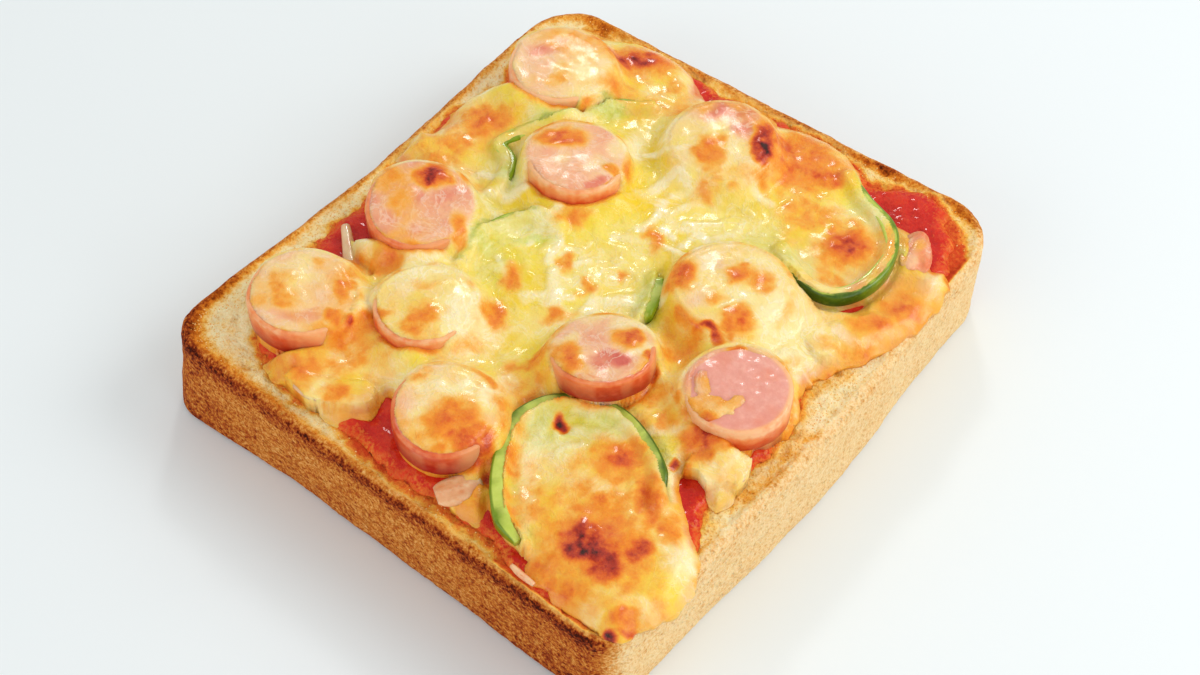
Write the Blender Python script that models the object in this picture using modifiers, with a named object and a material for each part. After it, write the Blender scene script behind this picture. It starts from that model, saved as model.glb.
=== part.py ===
# Bread pizza: a thick slice of square loaf under tomato sauce and melted cheese, with
# sausage coins, green pepper and onion. Metres, +Z up, origin at the bottom centre,
# the well browned side of the crust facing -Y and the pale side facing +X.

import math

import bmesh
import bpy
from mathutils import Matrix, Vector, noise

MM = 0.001
GAP = 0.35 * MM                     # air left between pieces that lie against each other
OVER = 12 * MM                      # how far a pocket's cutter stands above its topping

# The slice. A corner is x, y, its radius, and the bow of the side that follows it.
BREAD_THICK = 24.0 * MM
BREAD_CORNERS = (
    (-61.9, -66.5, 8.5, 0.4),
    (57.9, -67.4, 7.0, 2.4),
    (59.3, 68.1, 12.0, -0.4),
    (-60.7, 62.6, 13.0, -1.8),
)
CORNER_STEPS = 5
SIDE_STEPS = 12
BREAD_EDGE = 1.6 * MM               # rounding where the crust meets top and underside
CRUST_LEVELS = (5.0, 9.5, 14.0, 18.5)
CRUST_RELIEF = 0.5 * MM
CRUST_GRAIN = 9.0 * MM
FLARE = (-134, 14, 3.6)             # the foot of one corner spreads: direction, half width, how far

# Layers above the bread
SAUCE_THICK = 0.9 * MM
SAUCE_BASE = BREAD_THICK + GAP
SAUCE_TOP = SAUCE_BASE + SAUCE_THICK
CHEESE_BASE = SAUCE_TOP + GAP
CHEESE_DEPTH = 2.9 * MM             # of melted cheese where it lies thick
CHEESE_RIM = 0.6 * MM               # its depth at the rim
CHEESE_LUMP = 0.7 * MM
LUMP_SIZE = 13.0 * MM
WEB = 0.6 * MM                      # cheese left under a topping that is sunk into it
SEAT_HIGH = CHEESE_BASE + WEB + GAP
SEAT_LOW = CHEESE_BASE
SEAT_ONION = SEAT_HIGH + 0.7 * MM

# How far sauce and cheese stay back from the crust, with their dips: each dip is a
# direction in degrees, half its spread, and its depth.
SAUCE_MARGIN = 5.0
SAUCE_DIPS = ((-128, 9, 6.0), (-46, 6, 2.5), (128, 10, 4.0), (51, 9, 3.5), (0, 8, 1.8))
CHEESE_MARGIN = 6.2
CHEESE_DIPS = (
    (-136, 9, 15.0),
    (-152, 6, 6.0),
    (-98, 8, 9.5),
    (-34, 4, 11.0),
    (-13, 7, 3.5),
    (46, 11, 21.0),
    (104, 4, 4.5),
    (128, 10, 6.0),
)
CHEESE_RINGS = (0.13, 0.26, 0.38, 0.5, 0.6, 0.7, 0.79, 0.87, 0.93, 0.97)
RIM_FILL = (0.93, 0.45, 0.97, 0.78)  # how full the cheese is on its two outer rings

# Sausage coins: x, y, radius, height, lean in degrees, direction it leans up towards,
# and whether it lies on the sauce itself.
COIN_STEPS = 24
COIN_DOME = 0.4 * MM
COIN_ROUND = 1.2 * MM
COINS = (
    (-40.9, 37.6, 11.5, 6.4, 3, 200, False),
    (0.7, 41.8, 11.2, 6.0, 4, 60, False),
    (-20.2, 17.7, 10.8, 6.6, 5, 250, False),
    (-37.4, -13.5, 11.6, 6.8, 3, 160, False),
    (-40.5, -45.8, 11.2, 7.0, 4, 240, True),
    (-19.1, -32.2, 10.4, 6.4, 2, 300, False),
    (26.8, 10.3, 11.9, 6.6, 3, 290, False),
    (17.2, -19.6, 10.5, 6.4, 12, 320, False),
    (43.4, -9.7, 10.8, 6.4, 4, 30, False),
    (1.6, -49.2, 10.8, 7.0, 3, 200, True),
)
SCRAP = (49.0, 46.2, 2.2, 4.3, 4.2, 33)  # x, y, half width, half length, height, turn

# Green pepper, cut in rings: wall of the flesh and height of the cut, in half
PEPPER_WALL = 1.3
PEPPER_HEIGHT = 1.75
PEPPERS = {
    "pepper_ring_front": (
        (30.2, -60.9), (24.4, -59.0), (18.6, -53.6), (14.2, -46.4), (12.2, -40.0), (14.0, -33.4),
        (19.6, -28.8), (27.0, -26.6), (34.8, -28.4), (41.4, -32.4), (45.2, -37.6),
    ),
    "pepper_ring_right": (
        (26.8, 54.0), (32.6, 50.4), (40.4, 47.4), (45.0, 42.6), (46.6, 36.2), (45.8, 29.4),
        (42.4, 24.6), (36.8, 23.6), (31.4, 25.4), (27.4, 28.0),
    ),
    "pepper_strip_back": (
        (-19.5, 43.5), (-25.8, 38.2), (-28.7, 30.8), (-33.0, 24.0), (-37.2, 17.9),
        (-38.2, 13.2), (-33.6, 11.0), (-31.2, 6.4), (-30.4, 1.4),
    ),
    "pepper_arc_left": ((-21.9, -17.6), (-23.9, -10.4), (-23.4, -4.0), (-19.6, 1.4), (-12.9, 2.9)),
    "pepper_end_middle": ((11.4, 5.6), (13.6, 2.6), (14.8, -0.6), (15.6, -4.6)),
}

# Onion slivers: points along the sliver, half width, half height, lies on the sauce
ONIONS = (
    (((-50.2, -23.6), (-45.6, -27.4), (-41.6, -30.4), (-36.6, -31.0)), 1.5, 0.9, True),
    (((10.6, -61.6), (12.4, -58.2), (14.6, -55.2)), 3.0, 0.9, True),
    (((47.2, -26.4), (50.6, -23.4), (54.2, -21.4)), 2.9, 0.9, False),
    (((4.4, -34.6), (6.2, -31.2), (8.2, -28.0)), 2.6, 0.8, False),
    (((-28.6, -60.4), (-22.6, -58.6), (-16.4, -54.4)), 2.5, 0.9, False),
    (((31.4, -64.6), (34.0, -64.9), (37.4, -65.1)), 0.7, 0.6, True),
    (((38.4, 18.4), (43.0, 16.2), (48.4, 13.0)), 2.4, 0.9, False),
)


def clear_scene():
    for old in list(bpy.data.objects):
        bpy.data.objects.remove(old, do_unlink=True)


def make_collection(name):
    collection = bpy.data.collections.new(name)
    bpy.context.scene.collection.children.link(collection)
    return collection


def make_material(name, colour, roughness, subsurface=0.0):
    material = bpy.data.materials.new(name)
    material.use_nodes = True
    shader = material.node_tree.nodes["Principled BSDF"]
    shader.inputs["Base Color"].default_value = (*colour, 1.0)
    shader.inputs["Roughness"].default_value = roughness
    shader.inputs["Metallic"].default_value = 0.0
    shader.inputs["Subsurface Weight"].default_value = subsurface
    return material


def add_object(name, data, collection, material=None):
    piece = bpy.data.objects.new(name, data)
    collection.objects.link(piece)
    if material:
        data.materials.append(material)
    return piece


def mark_cutter(piece):
    piece.hide_render = True
    piece.display_type = "WIRE"


def bread_outline():
    """The slice seen from above, counter-clockwise."""
    points = []
    count = len(BREAD_CORNERS)
    spots = [Vector(corner[:2]) * MM for corner in BREAD_CORNERS]
    starts, ends, arcs = [], [], []
    for i in range(count):
        radius = BREAD_CORNERS[i][2] * MM
        along = (spots[i] - spots[i - 1]).normalized()
        away = (spots[(i + 1) % count] - spots[i]).normalized()
        turn = math.atan2(along.cross(away), along.dot(away))
        trim = radius * math.tan(turn / 2)
        starts.append(spots[i] - along * trim)
        ends.append(spots[i] + away * trim)
        centre = starts[i] + Vector((-along.y, along.x)) * radius
        first = math.atan2(-along.x, along.y)
        arcs.append([
            centre + radius * Vector((math.cos(first + turn * k / CORNER_STEPS),
                                      math.sin(first + turn * k / CORNER_STEPS)))
            for k in range(CORNER_STEPS + 1)
        ])
    for i in range(count):
        points += arcs[i]
        run = starts[(i + 1) % count] - ends[i]
        outward = Vector((run.y, -run.x)).normalized()
        bow = BREAD_CORNERS[i][3] * MM
        for k in range(1, SIDE_STEPS):
            t = k / SIDE_STEPS
            points.append(ends[i] + run * t + outward * bow * math.sin(math.pi * t) ** 2)
    return points


def stay_back(point, margin, dips):
    """A point of the bread's outline moved towards the middle by a margin and its dips."""
    heading = math.degrees(math.atan2(point.y, point.x))
    depth = margin
    for direction, spread, deep in dips:
        off = (heading - direction + 180) % 360 - 180
        depth += deep * math.exp(-((off / spread) ** 2))
    reach = point.length
    return point * ((reach - depth * MM) / reach)


def slab(outline, low, high, edge, steps):
    """A flat slab with both rims rounded, as an open bmesh for its caller to finish."""
    bm = bmesh.new()
    floor = bm.faces.new([bm.verts.new((p.x, p.y, low)) for p in outline])
    raised = bmesh.ops.extrude_face_region(bm, geom=[floor])["geom"]
    top = [v for v in raised if isinstance(v, bmesh.types.BMVert)]
    bmesh.ops.translate(bm, verts=top, vec=(0, 0, high - low))
    bmesh.ops.recalc_face_normals(bm, faces=bm.faces)
    rims = [e for e in bm.edges if e.verts[0].co.z == e.verts[1].co.z]
    bmesh.ops.bevel(bm, geom=rims, offset=edge, segments=steps, profile=0.5, affect="EDGES")
    return bm


def finish_mesh(bm, name, smooth=True):
    bmesh.ops.recalc_face_normals(bm, faces=bm.faces)
    mesh = bpy.data.meshes.new(name)
    bm.to_mesh(mesh)
    bm.free()
    if smooth:
        mesh.shade_smooth()
        mesh.set_sharp_from_angle(angle=math.radians(40))
    return mesh


def make_bread(collection, material, outline):
    bm = slab(outline, 0.0, BREAD_THICK, BREAD_EDGE, 2)
    for level in CRUST_LEVELS:
        everything = bm.verts[:] + bm.edges[:] + bm.faces[:]
        bmesh.ops.bisect_plane(bm, geom=everything, plane_co=(0, 0, level * MM), plane_no=(0, 0, 1))
    for v in bm.verts:
        outward = Vector((v.co.x, v.co.y, 0)).normalized()
        inside = min(v.co.z, BREAD_THICK - v.co.z) / BREAD_EDGE
        rough = noise.noise(v.co / CRUST_GRAIN + Vector((3.1, 0.7, 5.2)))
        off = (math.degrees(math.atan2(v.co.y, v.co.x)) - FLARE[0] + 180) % 360 - 180
        spread = FLARE[2] * MM * math.exp(-((off / FLARE[1]) ** 2)) * (1 - v.co.z / BREAD_THICK)
        v.co += outward * (spread + (CRUST_RELIEF * rough if inside > 0.2 else 0))
    return add_object("bread", finish_mesh(bm, "bread"), collection, material)


def make_sauce(collection, material, outline):
    rim = [stay_back(p, SAUCE_MARGIN, SAUCE_DIPS) for p in outline]
    bm = slab(rim, SAUCE_BASE, SAUCE_TOP, 0.25 * MM, 1)
    return add_object("sauce", finish_mesh(bm, "sauce"), collection, material)


def cheese_height(x, y, fill):
    """Height of the melted cheese at a place, where fill is 1 away from the rim."""
    lump = noise.noise(Vector((x, y, 0.4 * MM)) / LUMP_SIZE)
    return CHEESE_BASE + CHEESE_RIM + fill * (CHEESE_DEPTH - CHEESE_RIM + CHEESE_LUMP * lump)


def make_cheese(collection, material, outline):
    rim = [stay_back(p, CHEESE_MARGIN, CHEESE_DIPS) for p in outline]
    bm = bmesh.new()
    middle = bm.verts.new((0, 0, cheese_height(0, 0, 1.0)))
    rings = []
    for share in CHEESE_RINGS + (1.0,):
        fill = 1.0
        if share >= RIM_FILL[0]:
            fill = RIM_FILL[3]
        if share >= RIM_FILL[2]:
            fill = RIM_FILL[1]
        if share == 1.0:
            fill = 0.0
        rings.append([
            bm.verts.new((p.x * share, p.y * share, cheese_height(p.x * share, p.y * share, fill)))
            for p in rim
        ])
    rings.append([bm.verts.new((p.x, p.y, CHEESE_BASE)) for p in rim])
    count = len(rim)
    for i in range(count):
        bm.faces.new((middle, rings[0][i], rings[0][(i + 1) % count]))
    for inner, outer in zip(rings, rings[1:]):
        for i in range(count):
            j = (i + 1) % count
            bm.faces.new((inner[i], outer[i], outer[j], inner[j]))
    bm.faces.new(rings[-1])
    return add_object("cheese", finish_mesh(bm, "cheese"), collection, material)


def lean_matrix(x, y, z, lean, towards):
    """Places a turned piece and lifts its side that faces the given direction."""
    heading = math.radians(towards)
    axis = Vector((math.sin(heading), -math.cos(heading), 0))
    return Matrix.Translation((x * MM, y * MM, z)) @ Matrix.Rotation(math.radians(lean), 4, axis)


def turned(name, profile, steps):
    """A profile given as radius and height, turned round Z."""
    mesh = bpy.data.meshes.new(name)
    edges = [(i, i + 1) for i in range(len(profile) - 1)]
    mesh.from_pydata([(r, 0, z) for r, z in profile], edges, [])
    piece = bpy.data.objects.new(name, mesh)
    screw = piece.modifiers.new("Turn", "SCREW")
    screw.steps = steps
    screw.render_steps = steps
    screw.use_merge_vertices = True
    screw.merge_threshold = 0.00001
    return piece


def coin_profile(radius, height):
    r, h, c = radius * MM, height * MM, COIN_ROUND
    return (
        (0, h + COIN_DOME), (r * 0.6, h + COIN_DOME * 0.7), (r - c, h), (r - c * 0.25, h - c * 0.3),
        (r, h - c), (r, c * 0.8), (r - c * 0.8, 0), (0, 0),
    )


def add_coin(name, spot, shape, height, collection, cutters, material):
    """A coin and the cutter of its pocket. spot is x, y, radius, lean, direction, low."""
    x, y, radius, lean, towards, low = spot
    narrow, turn = shape
    seat = SEAT_LOW if low else SEAT_HIGH
    lift = radius * MM * math.sin(math.radians(lean))
    place = lean_matrix(x, y, seat + lift, lean, towards)
    place = place @ Matrix.Rotation(math.radians(turn), 4, "Z") @ Matrix.Diagonal((narrow, 1, 1, 1))
    coin = turned(name, coin_profile(radius, height), COIN_STEPS)
    coin.matrix_world = place
    collection.objects.link(coin)
    coin.data.materials.append(material)
    wide = radius * MM + GAP / narrow
    cutter = turned(name + "_pocket", ((0, OVER), (wide, OVER), (wide, -GAP), (0, -GAP)), COIN_STEPS)
    cutter.matrix_world = place
    cutters.objects.link(cutter)
    mark_cutter(cutter)


def make_coins(collection, cutters, material):
    for i, (x, y, radius, height, lean, towards, low) in enumerate(COINS):
        name = "sausage_%02d" % (i + 1)
        add_coin(name, (x, y, radius, lean, towards, low), (1.0, 0), height,
                 collection, cutters, material)
    x, y, wide, long, height, turn = SCRAP
    add_coin("sausage_scrap", (x, y, long, 0, 0, True), (wide / long, turn), height,
             collection, cutters, material)


def bar_mesh(name, points, half_wide, half_high, middle_z, ends):
    """A bar along a smooth line, with an oval section. ends is how thick its tips are."""
    curve = bpy.data.curves.new(name, "CURVE")
    curve.dimensions = "3D"
    curve.fill_mode = "FULL"
    curve.bevel_depth = half_wide
    curve.bevel_resolution = 2
    curve.use_fill_caps = True
    spline = curve.splines.new("POLY")
    spline.points.add(len(points) - 1)
    last = len(points) - 1
    for i, p in enumerate(points):
        spline.points[i].co = (p.x, p.y, 0, 1)
        tip = min(i, last - i) / max(1, last * 0.25)
        spline.points[i].radius = ends + (1 - ends) * min(1.0, tip)
    source = bpy.data.objects.new(name + "_line", curve)
    bpy.context.scene.collection.objects.link(source)
    mesh = bpy.data.meshes.new_from_object(source.evaluated_get(bpy.context.evaluated_depsgraph_get()))
    bpy.data.objects.remove(source, do_unlink=True)
    bm = bmesh.new()
    bm.from_mesh(mesh)
    bpy.data.meshes.remove(mesh)
    bmesh.ops.remove_doubles(bm, verts=bm.verts, dist=0.01 * MM)
    for v in bm.verts:
        v.co.z = middle_z + v.co.z * half_high / half_wide
    return finish_mesh(bm, name)


def smooth_line(spots, per_span):
    """Points of a smooth line through the given spots (Catmull-Rom)."""
    knots = [Vector(spots[0]) * 2 - Vector(spots[1])]
    knots += [Vector(s) for s in spots]
    knots.append(Vector(spots[-1]) * 2 - Vector(spots[-2]))
    line = []
    for i in range(1, len(knots) - 2):
        a, b, c, d = knots[i - 1:i + 3]
        for k in range(per_span):
            t = k / per_span
            line.append(0.5 * (2 * b + (c - a) * t + (2 * a - 5 * b + 4 * c - d) * t * t
                               + (3 * b - a - 3 * c + d) * t ** 3))
    line.append(knots[-2])
    return [p * MM for p in line]


def add_bar(name, line, half_wide, half_high, seat, ends, collection, cutters, material):
    """A bar of topping, with the cutter of the trench it lies in."""
    middle_z = seat + half_high * MM
    mesh = bar_mesh(name, line, half_wide * MM, half_high * MM, middle_z, ends)
    add_object(name, mesh, collection, material)
    past = (line[-1] - line[-2]).normalized() * GAP
    before = (line[0] - line[1]).normalized() * GAP
    longer = [line[0] + before] + line[1:-1] + [line[-1] + past]
    wide = half_wide * MM + GAP
    high = half_high * MM + GAP
    trench = bar_mesh(name + "_trench", longer, wide, high, middle_z, min(1.0, ends + 0.15))
    mark_cutter(add_object(name + "_trench", trench, cutters))


def make_peppers(collection, cutters, material):
    for name, spots in PEPPERS.items():
        add_bar(name, smooth_line(spots, 3), PEPPER_WALL, PEPPER_HEIGHT, SEAT_HIGH, 0.65,
                collection, cutters, material)


def make_onions(collection, cutters, material):
    for i, (spots, half_wide, half_high, low) in enumerate(ONIONS):
        add_bar("onion_%d" % (i + 1), smooth_line(spots, 2), half_wide, half_high,
                SEAT_LOW if low else SEAT_ONION, 0.45, collection, cutters, material)


def cut_pockets(cheese, cutters):
    """Cuts every topping's pocket out of the cheese and drops loose scraps."""
    cut = cheese.modifiers.new("Pockets", "BOOLEAN")
    cut.operation = "DIFFERENCE"
    cut.solver = "EXACT"
    cut.operand_type = "COLLECTION"
    cut.collection = cutters
    graph = bpy.context.evaluated_depsgraph_get()
    mesh = bpy.data.meshes.new_from_object(cheese.evaluated_get(graph))
    cheese.modifiers.remove(cut)
    bm = bmesh.new()
    bm.from_mesh(mesh)
    bpy.data.meshes.remove(mesh)
    bmesh.ops.remove_doubles(bm, verts=bm.verts, dist=0.02 * MM)
    bmesh.ops.dissolve_degenerate(bm, edges=bm.edges, dist=0.01 * MM)
    islands = []
    left = set(bm.verts)
    while left:
        grown = set()
        edge = [left.pop()]
        while edge:
            v = edge.pop()
            grown.add(v)
            near = [e.other_vert(v) for e in v.link_edges]
            edge += [w for w in near if w in left]
            left.difference_update(near)
        islands.append(grown)
    islands.sort(key=len)
    for scrap in islands[:-1]:
        bmesh.ops.delete(bm, geom=list(scrap), context="VERTS")
    bmesh.ops.triangulate(bm, faces=bm.faces)
    bm.to_mesh(cheese.data)
    bm.free()


def centre_on_bread(pieces):
    """Moves every piece so that the bread's box stands centred on the origin."""
    corners = [Vector(c) for c in pieces["bread"].bound_box]
    middle = sum(corners, Vector()) / len(corners)
    shift = Matrix.Translation((-middle.x, -middle.y, 0))
    for piece in pieces:
        piece.matrix_world = shift @ piece.matrix_world


def main():
    clear_scene()
    parts = make_collection("bread_pizza")
    cutters = make_collection("cutters")
    crust = make_material("toasted_bread", (0.62, 0.33, 0.12), 0.85)
    tomato = make_material("tomato_sauce", (0.62, 0.05, 0.02), 0.3)
    melted = make_material("melted_cheese", (0.86, 0.62, 0.24), 0.35, 0.2)
    meat = make_material("sausage_meat", (0.8, 0.42, 0.34), 0.35, 0.2)
    green = make_material("green_pepper", (0.18, 0.42, 0.03), 0.3)
    pale = make_material("onion", (0.85, 0.72, 0.5), 0.3, 0.2)
    outline = bread_outline()
    make_bread(parts, crust, outline)
    make_sauce(parts, tomato, outline)
    cheese = make_cheese(parts, melted, outline)
    make_coins(parts, cutters, meat)
    make_peppers(parts, cutters, green)
    make_onions(parts, cutters, pale)
    cut_pockets(cheese, cutters)
    centre_on_bread(parts.objects)


main()
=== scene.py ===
import math

import bmesh
import bpy
import numpy as np
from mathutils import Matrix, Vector


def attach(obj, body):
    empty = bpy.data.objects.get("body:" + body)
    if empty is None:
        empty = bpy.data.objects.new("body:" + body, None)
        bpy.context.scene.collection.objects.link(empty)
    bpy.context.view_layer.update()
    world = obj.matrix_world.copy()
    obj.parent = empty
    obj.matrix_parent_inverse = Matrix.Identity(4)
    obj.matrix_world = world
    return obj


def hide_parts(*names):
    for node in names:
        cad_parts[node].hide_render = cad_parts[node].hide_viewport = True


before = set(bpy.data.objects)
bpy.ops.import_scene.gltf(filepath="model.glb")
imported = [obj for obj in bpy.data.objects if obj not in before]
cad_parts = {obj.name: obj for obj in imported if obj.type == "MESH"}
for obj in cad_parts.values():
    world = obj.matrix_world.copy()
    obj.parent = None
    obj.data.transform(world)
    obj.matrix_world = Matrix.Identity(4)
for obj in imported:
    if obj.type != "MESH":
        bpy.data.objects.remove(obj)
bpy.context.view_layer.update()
mm = 0.001
slide = np.array([1.506, 0.578])      # from the drawing's middle to the middle of the slice


# Places in the photo

camera = {
    "place": (161.07, -196.35, 339.12),
    "target": (-0.19, 3.57, 0.0),
    "lens": 57.517,
    "sensor": 36.0,
    "photo": (1200, 675),             # pixels
    "clip": 10.0,
}
cameraPlace = np.array(camera["place"])
lookAlong = np.array(camera["target"]) - cameraPlace
lookAlong /= np.linalg.norm(lookAlong)
pictureRight = np.cross(lookAlong, (0, 0, 1))
pictureRight /= np.linalg.norm(pictureRight)
pictureUp = np.cross(pictureRight, lookAlong)
focalPixels = camera["photo"][0] * camera["lens"] / camera["sensor"]


def fromPhoto(across, down, height):
    # where a pixel's ray meets a height in mm, and how many mm a pixel covers there
    ray = lookAlong + pictureRight * (across - camera["photo"][0] / 2) / focalPixels
    ray = ray - pictureUp * (down - camera["photo"][1] / 2) / focalPixels
    depth = (height - cameraPlace[2]) / ray[2]
    return (cameraPlace + ray * depth)[:2], depth / focalPixels


def seenOutline(height, pixels):
    return np.array([fromPhoto(across, down, height)[0] for across, down in pixels])


def seenSpots(levels):
    # A row is a spot's place in the photo, its half width and height there and its strength in
    # percent, then its rise in mm and its turn in degrees where they are not 0.
    spots = []
    for height, rows in levels.items():
        for across, down, wide, high, percent, *rest in rows:
            rise, turn = (*rest, 0, 0)[:2]
            (x, y), size = fromPhoto(across, down, height)
            spots.append((x, y, wide * size, high * size / -lookAlong[2], turn, percent / 100, rise))
    return spots


# Soft noise

noiseTable = np.random.default_rng(11).random((64, 64, 64)) * 2 - 1


def cloud(points, size, seed=0):
    # smooth noise from -1 to 1 whose lumps are size mm across; each seed turns and shifts it
    p = np.column_stack((points, np.zeros(len(points)))) if points.shape[1] == 2 else points
    turn = 0.6 + seed * 1.7
    x = (p[:, 0] * math.cos(turn) - p[:, 1] * math.sin(turn)) / size + seed * 7.3
    y = (p[:, 0] * math.sin(turn) + p[:, 1] * math.cos(turn)) / size + seed * 3.9
    z = p[:, 2] / size + seed * 5.1
    q = np.column_stack((x, y, z))
    low = np.floor(q).astype(int)
    f = q - low
    f = f * f * f * (f * (f * 6 - 15) + 10)
    a, b = low & 63, (low + 1) & 63
    total = np.zeros(len(q))
    for i in (0, 1):
        wx = f[:, 0] if i else 1 - f[:, 0]
        ix = b[:, 0] if i else a[:, 0]
        for j in (0, 1):
            wy = f[:, 1] if j else 1 - f[:, 1]
            iy = b[:, 1] if j else a[:, 1]
            total += wx * wy * (1 - f[:, 2]) * noiseTable[ix, iy, a[:, 2]]
            total += wx * wy * f[:, 2] * noiseTable[ix, iy, b[:, 2]]
    return total


def clouds(points, size, seed=0, layers=3, fall=0.5):
    return sum(cloud(points, size / 2 ** i, seed + i) * fall ** i for i in range(layers))


def relief(points, *rows):
    # a sum of clouds, each with its height, size and seed
    return sum(high * cloud(points, size, seed) for high, size, seed in rows)


def warpedBy(points, high, size, seed):
    # points pushed sideways by two clouds
    return points + high * np.column_stack((cloud(points, size, seed), cloud(points, size, seed + 1)))


def ease(low, high, x):
    t = np.clip((x - low) / (high - low), 0, 1)
    return t * t * (3 - 2 * t)


def blend(a, b, t):
    return a * (1 - t) + b * t


def fallOff(gap, width):
    # 1 up to the edge, then softly down to 0 beyond it
    return np.exp(-np.clip(gap / width, 0, 9) ** 2)


def turned(d, angle):
    # offsets along a direction and across it
    return (d[:, 0] * math.cos(angle) + d[:, 1] * math.sin(angle),
            d[:, 1] * math.cos(angle) - d[:, 0] * math.sin(angle))


def angleOff(a, b):
    return (a - b + 180) % 360 - 180


def edgeDistance(points, outline):
    # signed distance to a closed outline, positive inside
    best = np.full(len(points), 1e9)
    inside = np.zeros(len(points), bool)
    for (x0, y0), (x1, y1) in zip(outline, np.roll(outline, -1, axis=0)):
        ex, ey = x1 - x0, y1 - y0
        px, py = points[:, 0] - x0, points[:, 1] - y0
        t = np.clip((px * ex + py * ey) / max(ex * ex + ey * ey, 1e-9), 0, 1)
        best = np.minimum(best, (px - t * ex) ** 2 + (py - t * ey) ** 2)
        if y0 != y1:
            inside ^= ((points[:, 1] > y0) != (points[:, 1] > y1)) & (px < ex * py / ey)
    return np.where(inside, 1, -1) * np.sqrt(best)


def lineDistance(points, line):
    # signed distance to a line (its left is positive), and the nearest place along it, 0 to 1
    best, along = np.full(len(points), 1e9), np.zeros(len(points))
    left = np.ones(len(points))
    last = len(line) - 1
    for i in range(last):
        a, run = line[i], line[i + 1] - line[i]
        t = np.clip(((points - a) @ run) / max(run @ run, 1e-9), 0, 1)
        d = np.hypot(*(points - a - t[:, None] * run).T)
        closer = d < best
        best = np.where(closer, d, best)
        along = np.where(closer, (i + t) / last, along)
        side = run[0] * (points[:, 1] - a[1]) - run[1] * (points[:, 0] - a[0])
        left = np.where(closer, np.sign(side), left)
    return best * left, along


def smoothLine(spots, perSpan):
    # a smooth line through the spots (Catmull-Rom)
    s = np.array(spots, float)
    knots = np.vstack((2 * s[0] - s[1], s, 2 * s[-1] - s[-2]))
    line = []
    for i in range(1, len(knots) - 2):
        a, b, c, d = knots[i - 1:i + 3]
        for t in np.arange(perSpan) / perSpan:
            line.append(0.5 * (2 * b + (c - a) * t + (2 * a - 5 * b + 4 * c - d) * t * t
                               + (3 * b - a - 3 * c + d) * t ** 3))
    line.append(s[-1])
    return np.array(line)


def normalsOf(line):
    # the left of a line at each of its points, and its direction there
    run = np.gradient(line, axis=0)
    run /= np.hypot(*run.T)[:, None]
    return np.column_stack((-run[:, 1], run[:, 0])), run


diagonal = math.radians(38.9)         # spots are ovals that lie along the slice's diagonal


def spotWeight(points, spot):
    # 1 in the middle of an oval spot, with a flat top and soft sides
    x, y, wide, high, turn = spot[:5]
    u, v = turned(points - (x, y), diagonal + math.radians(turn))
    u, v = u / wide, v / high
    return np.exp(-0.7 * (u * u + v * v) ** 1.4)


def spotField(points, spots):
    # the strongest spot at each point, and how much the spots rise there
    level, rise = np.zeros(len(points)), np.zeros(len(points))
    for spot in spots:
        w = spotWeight(points, spot)
        level = np.maximum(level, w * spot[5])
        rise = np.maximum(rise, w * spot[6]) if spot[6] > 0 else rise + w * spot[6]
    return level, rise


# Meshes

def put(name, data):
    made = bpy.data.objects.new(name, data)
    bpy.context.scene.collection.objects.link(made)
    return made


def newPiece(name, points, faces, marks, material):
    # points in mm; marks are named values at each point
    mesh = bpy.data.meshes.new(name)
    mesh.from_pydata([tuple(v) for v in points * mm], [], faces)
    for key, values in marks.items():
        addMark(mesh, key, values)
    mesh.shade_smooth()
    piece = put(name, mesh)
    mesh.materials.append(material)
    return piece


def addMark(mesh, name, values):
    layer = mesh.attributes.new(name, "FLOAT", "POINT")
    layer.data.foreach_set("value", np.asarray(values, np.float32))


def bands(rows, around):
    # quads between each row of a closed skin and the next
    k = np.arange(around)
    n = (k + 1) % around
    faces = []
    for r in range(rows - 1):
        low, up = r * around, (r + 1) * around
        faces += np.column_stack((low + k, low + n, up + n, up + k)).tolist()
    return faces


def dressed(piece, slot, *nodes):
    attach(piece, "root")
    if nodes:
        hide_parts(*nodes)
    return piece


def roomy(points, spare=2.0):
    # the rectangle round some points
    low, high = points.min(0) - spare, points.max(0) + spare
    return low[0], low[1], high[0], high[1]


def layerSheet(name, room, step, reachOf, shapeOf, floorHeight, material):
    # a layer from a height field: cells inside its outline, the rim moved on to the outline
    xs = np.arange(room[0], room[2], step)
    ys = np.arange(room[1], room[3], step)
    gx, gy = np.meshgrid(xs, ys)
    reach = reachOf(np.column_stack((gx.ravel(), gy.ravel()))).reshape(gx.shape)
    slopeY, slopeX = np.gradient(reach, step)
    slope = np.maximum(slopeX ** 2 + slopeY ** 2, 0.2)
    pull = np.minimum(np.where(reach < 0, -reach, 0) / slope, 1.5 * step)
    moved = np.column_stack(((gx + pull * slopeX).ravel(), (gy + pull * slopeY).ravel()))
    hit = reach > 0
    row, col = np.nonzero(hit[:-1, :-1] | hit[1:, :-1] | hit[:-1, 1:] | hit[1:, 1:])
    wide = gx.shape[1]
    corner = row * wide + col
    quads = np.column_stack((corner, corner + 1, corner + wide + 1, corner + wide))
    used, index = np.unique(quads, return_inverse=True)
    spots = moved[used]
    height, marks = shapeOf(spots)
    top = np.column_stack((spots, height))
    piece = newPiece(name, top, index.reshape(quads.shape).tolist(), marks, material)
    bm = bmesh.new()
    bm.from_mesh(piece.data)
    rim = [e for e in bm.edges if e.is_boundary]
    grown = bmesh.ops.extrude_edge_only(bm, edges=rim)["geom"]
    for v in grown:
        if isinstance(v, bmesh.types.BMVert):
            v.co.z = floorHeight * mm
    under = [e for e in grown if isinstance(e, bmesh.types.BMEdge) and e.is_boundary]
    bmesh.ops.triangle_fill(bm, edges=under, use_beauty=False)
    bmesh.ops.recalc_face_normals(bm, faces=bm.faces)
    for f in bm.faces:
        f.smooth = True
    bm.to_mesh(piece.data)
    bm.free()
    return piece


# Shader maths

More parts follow.
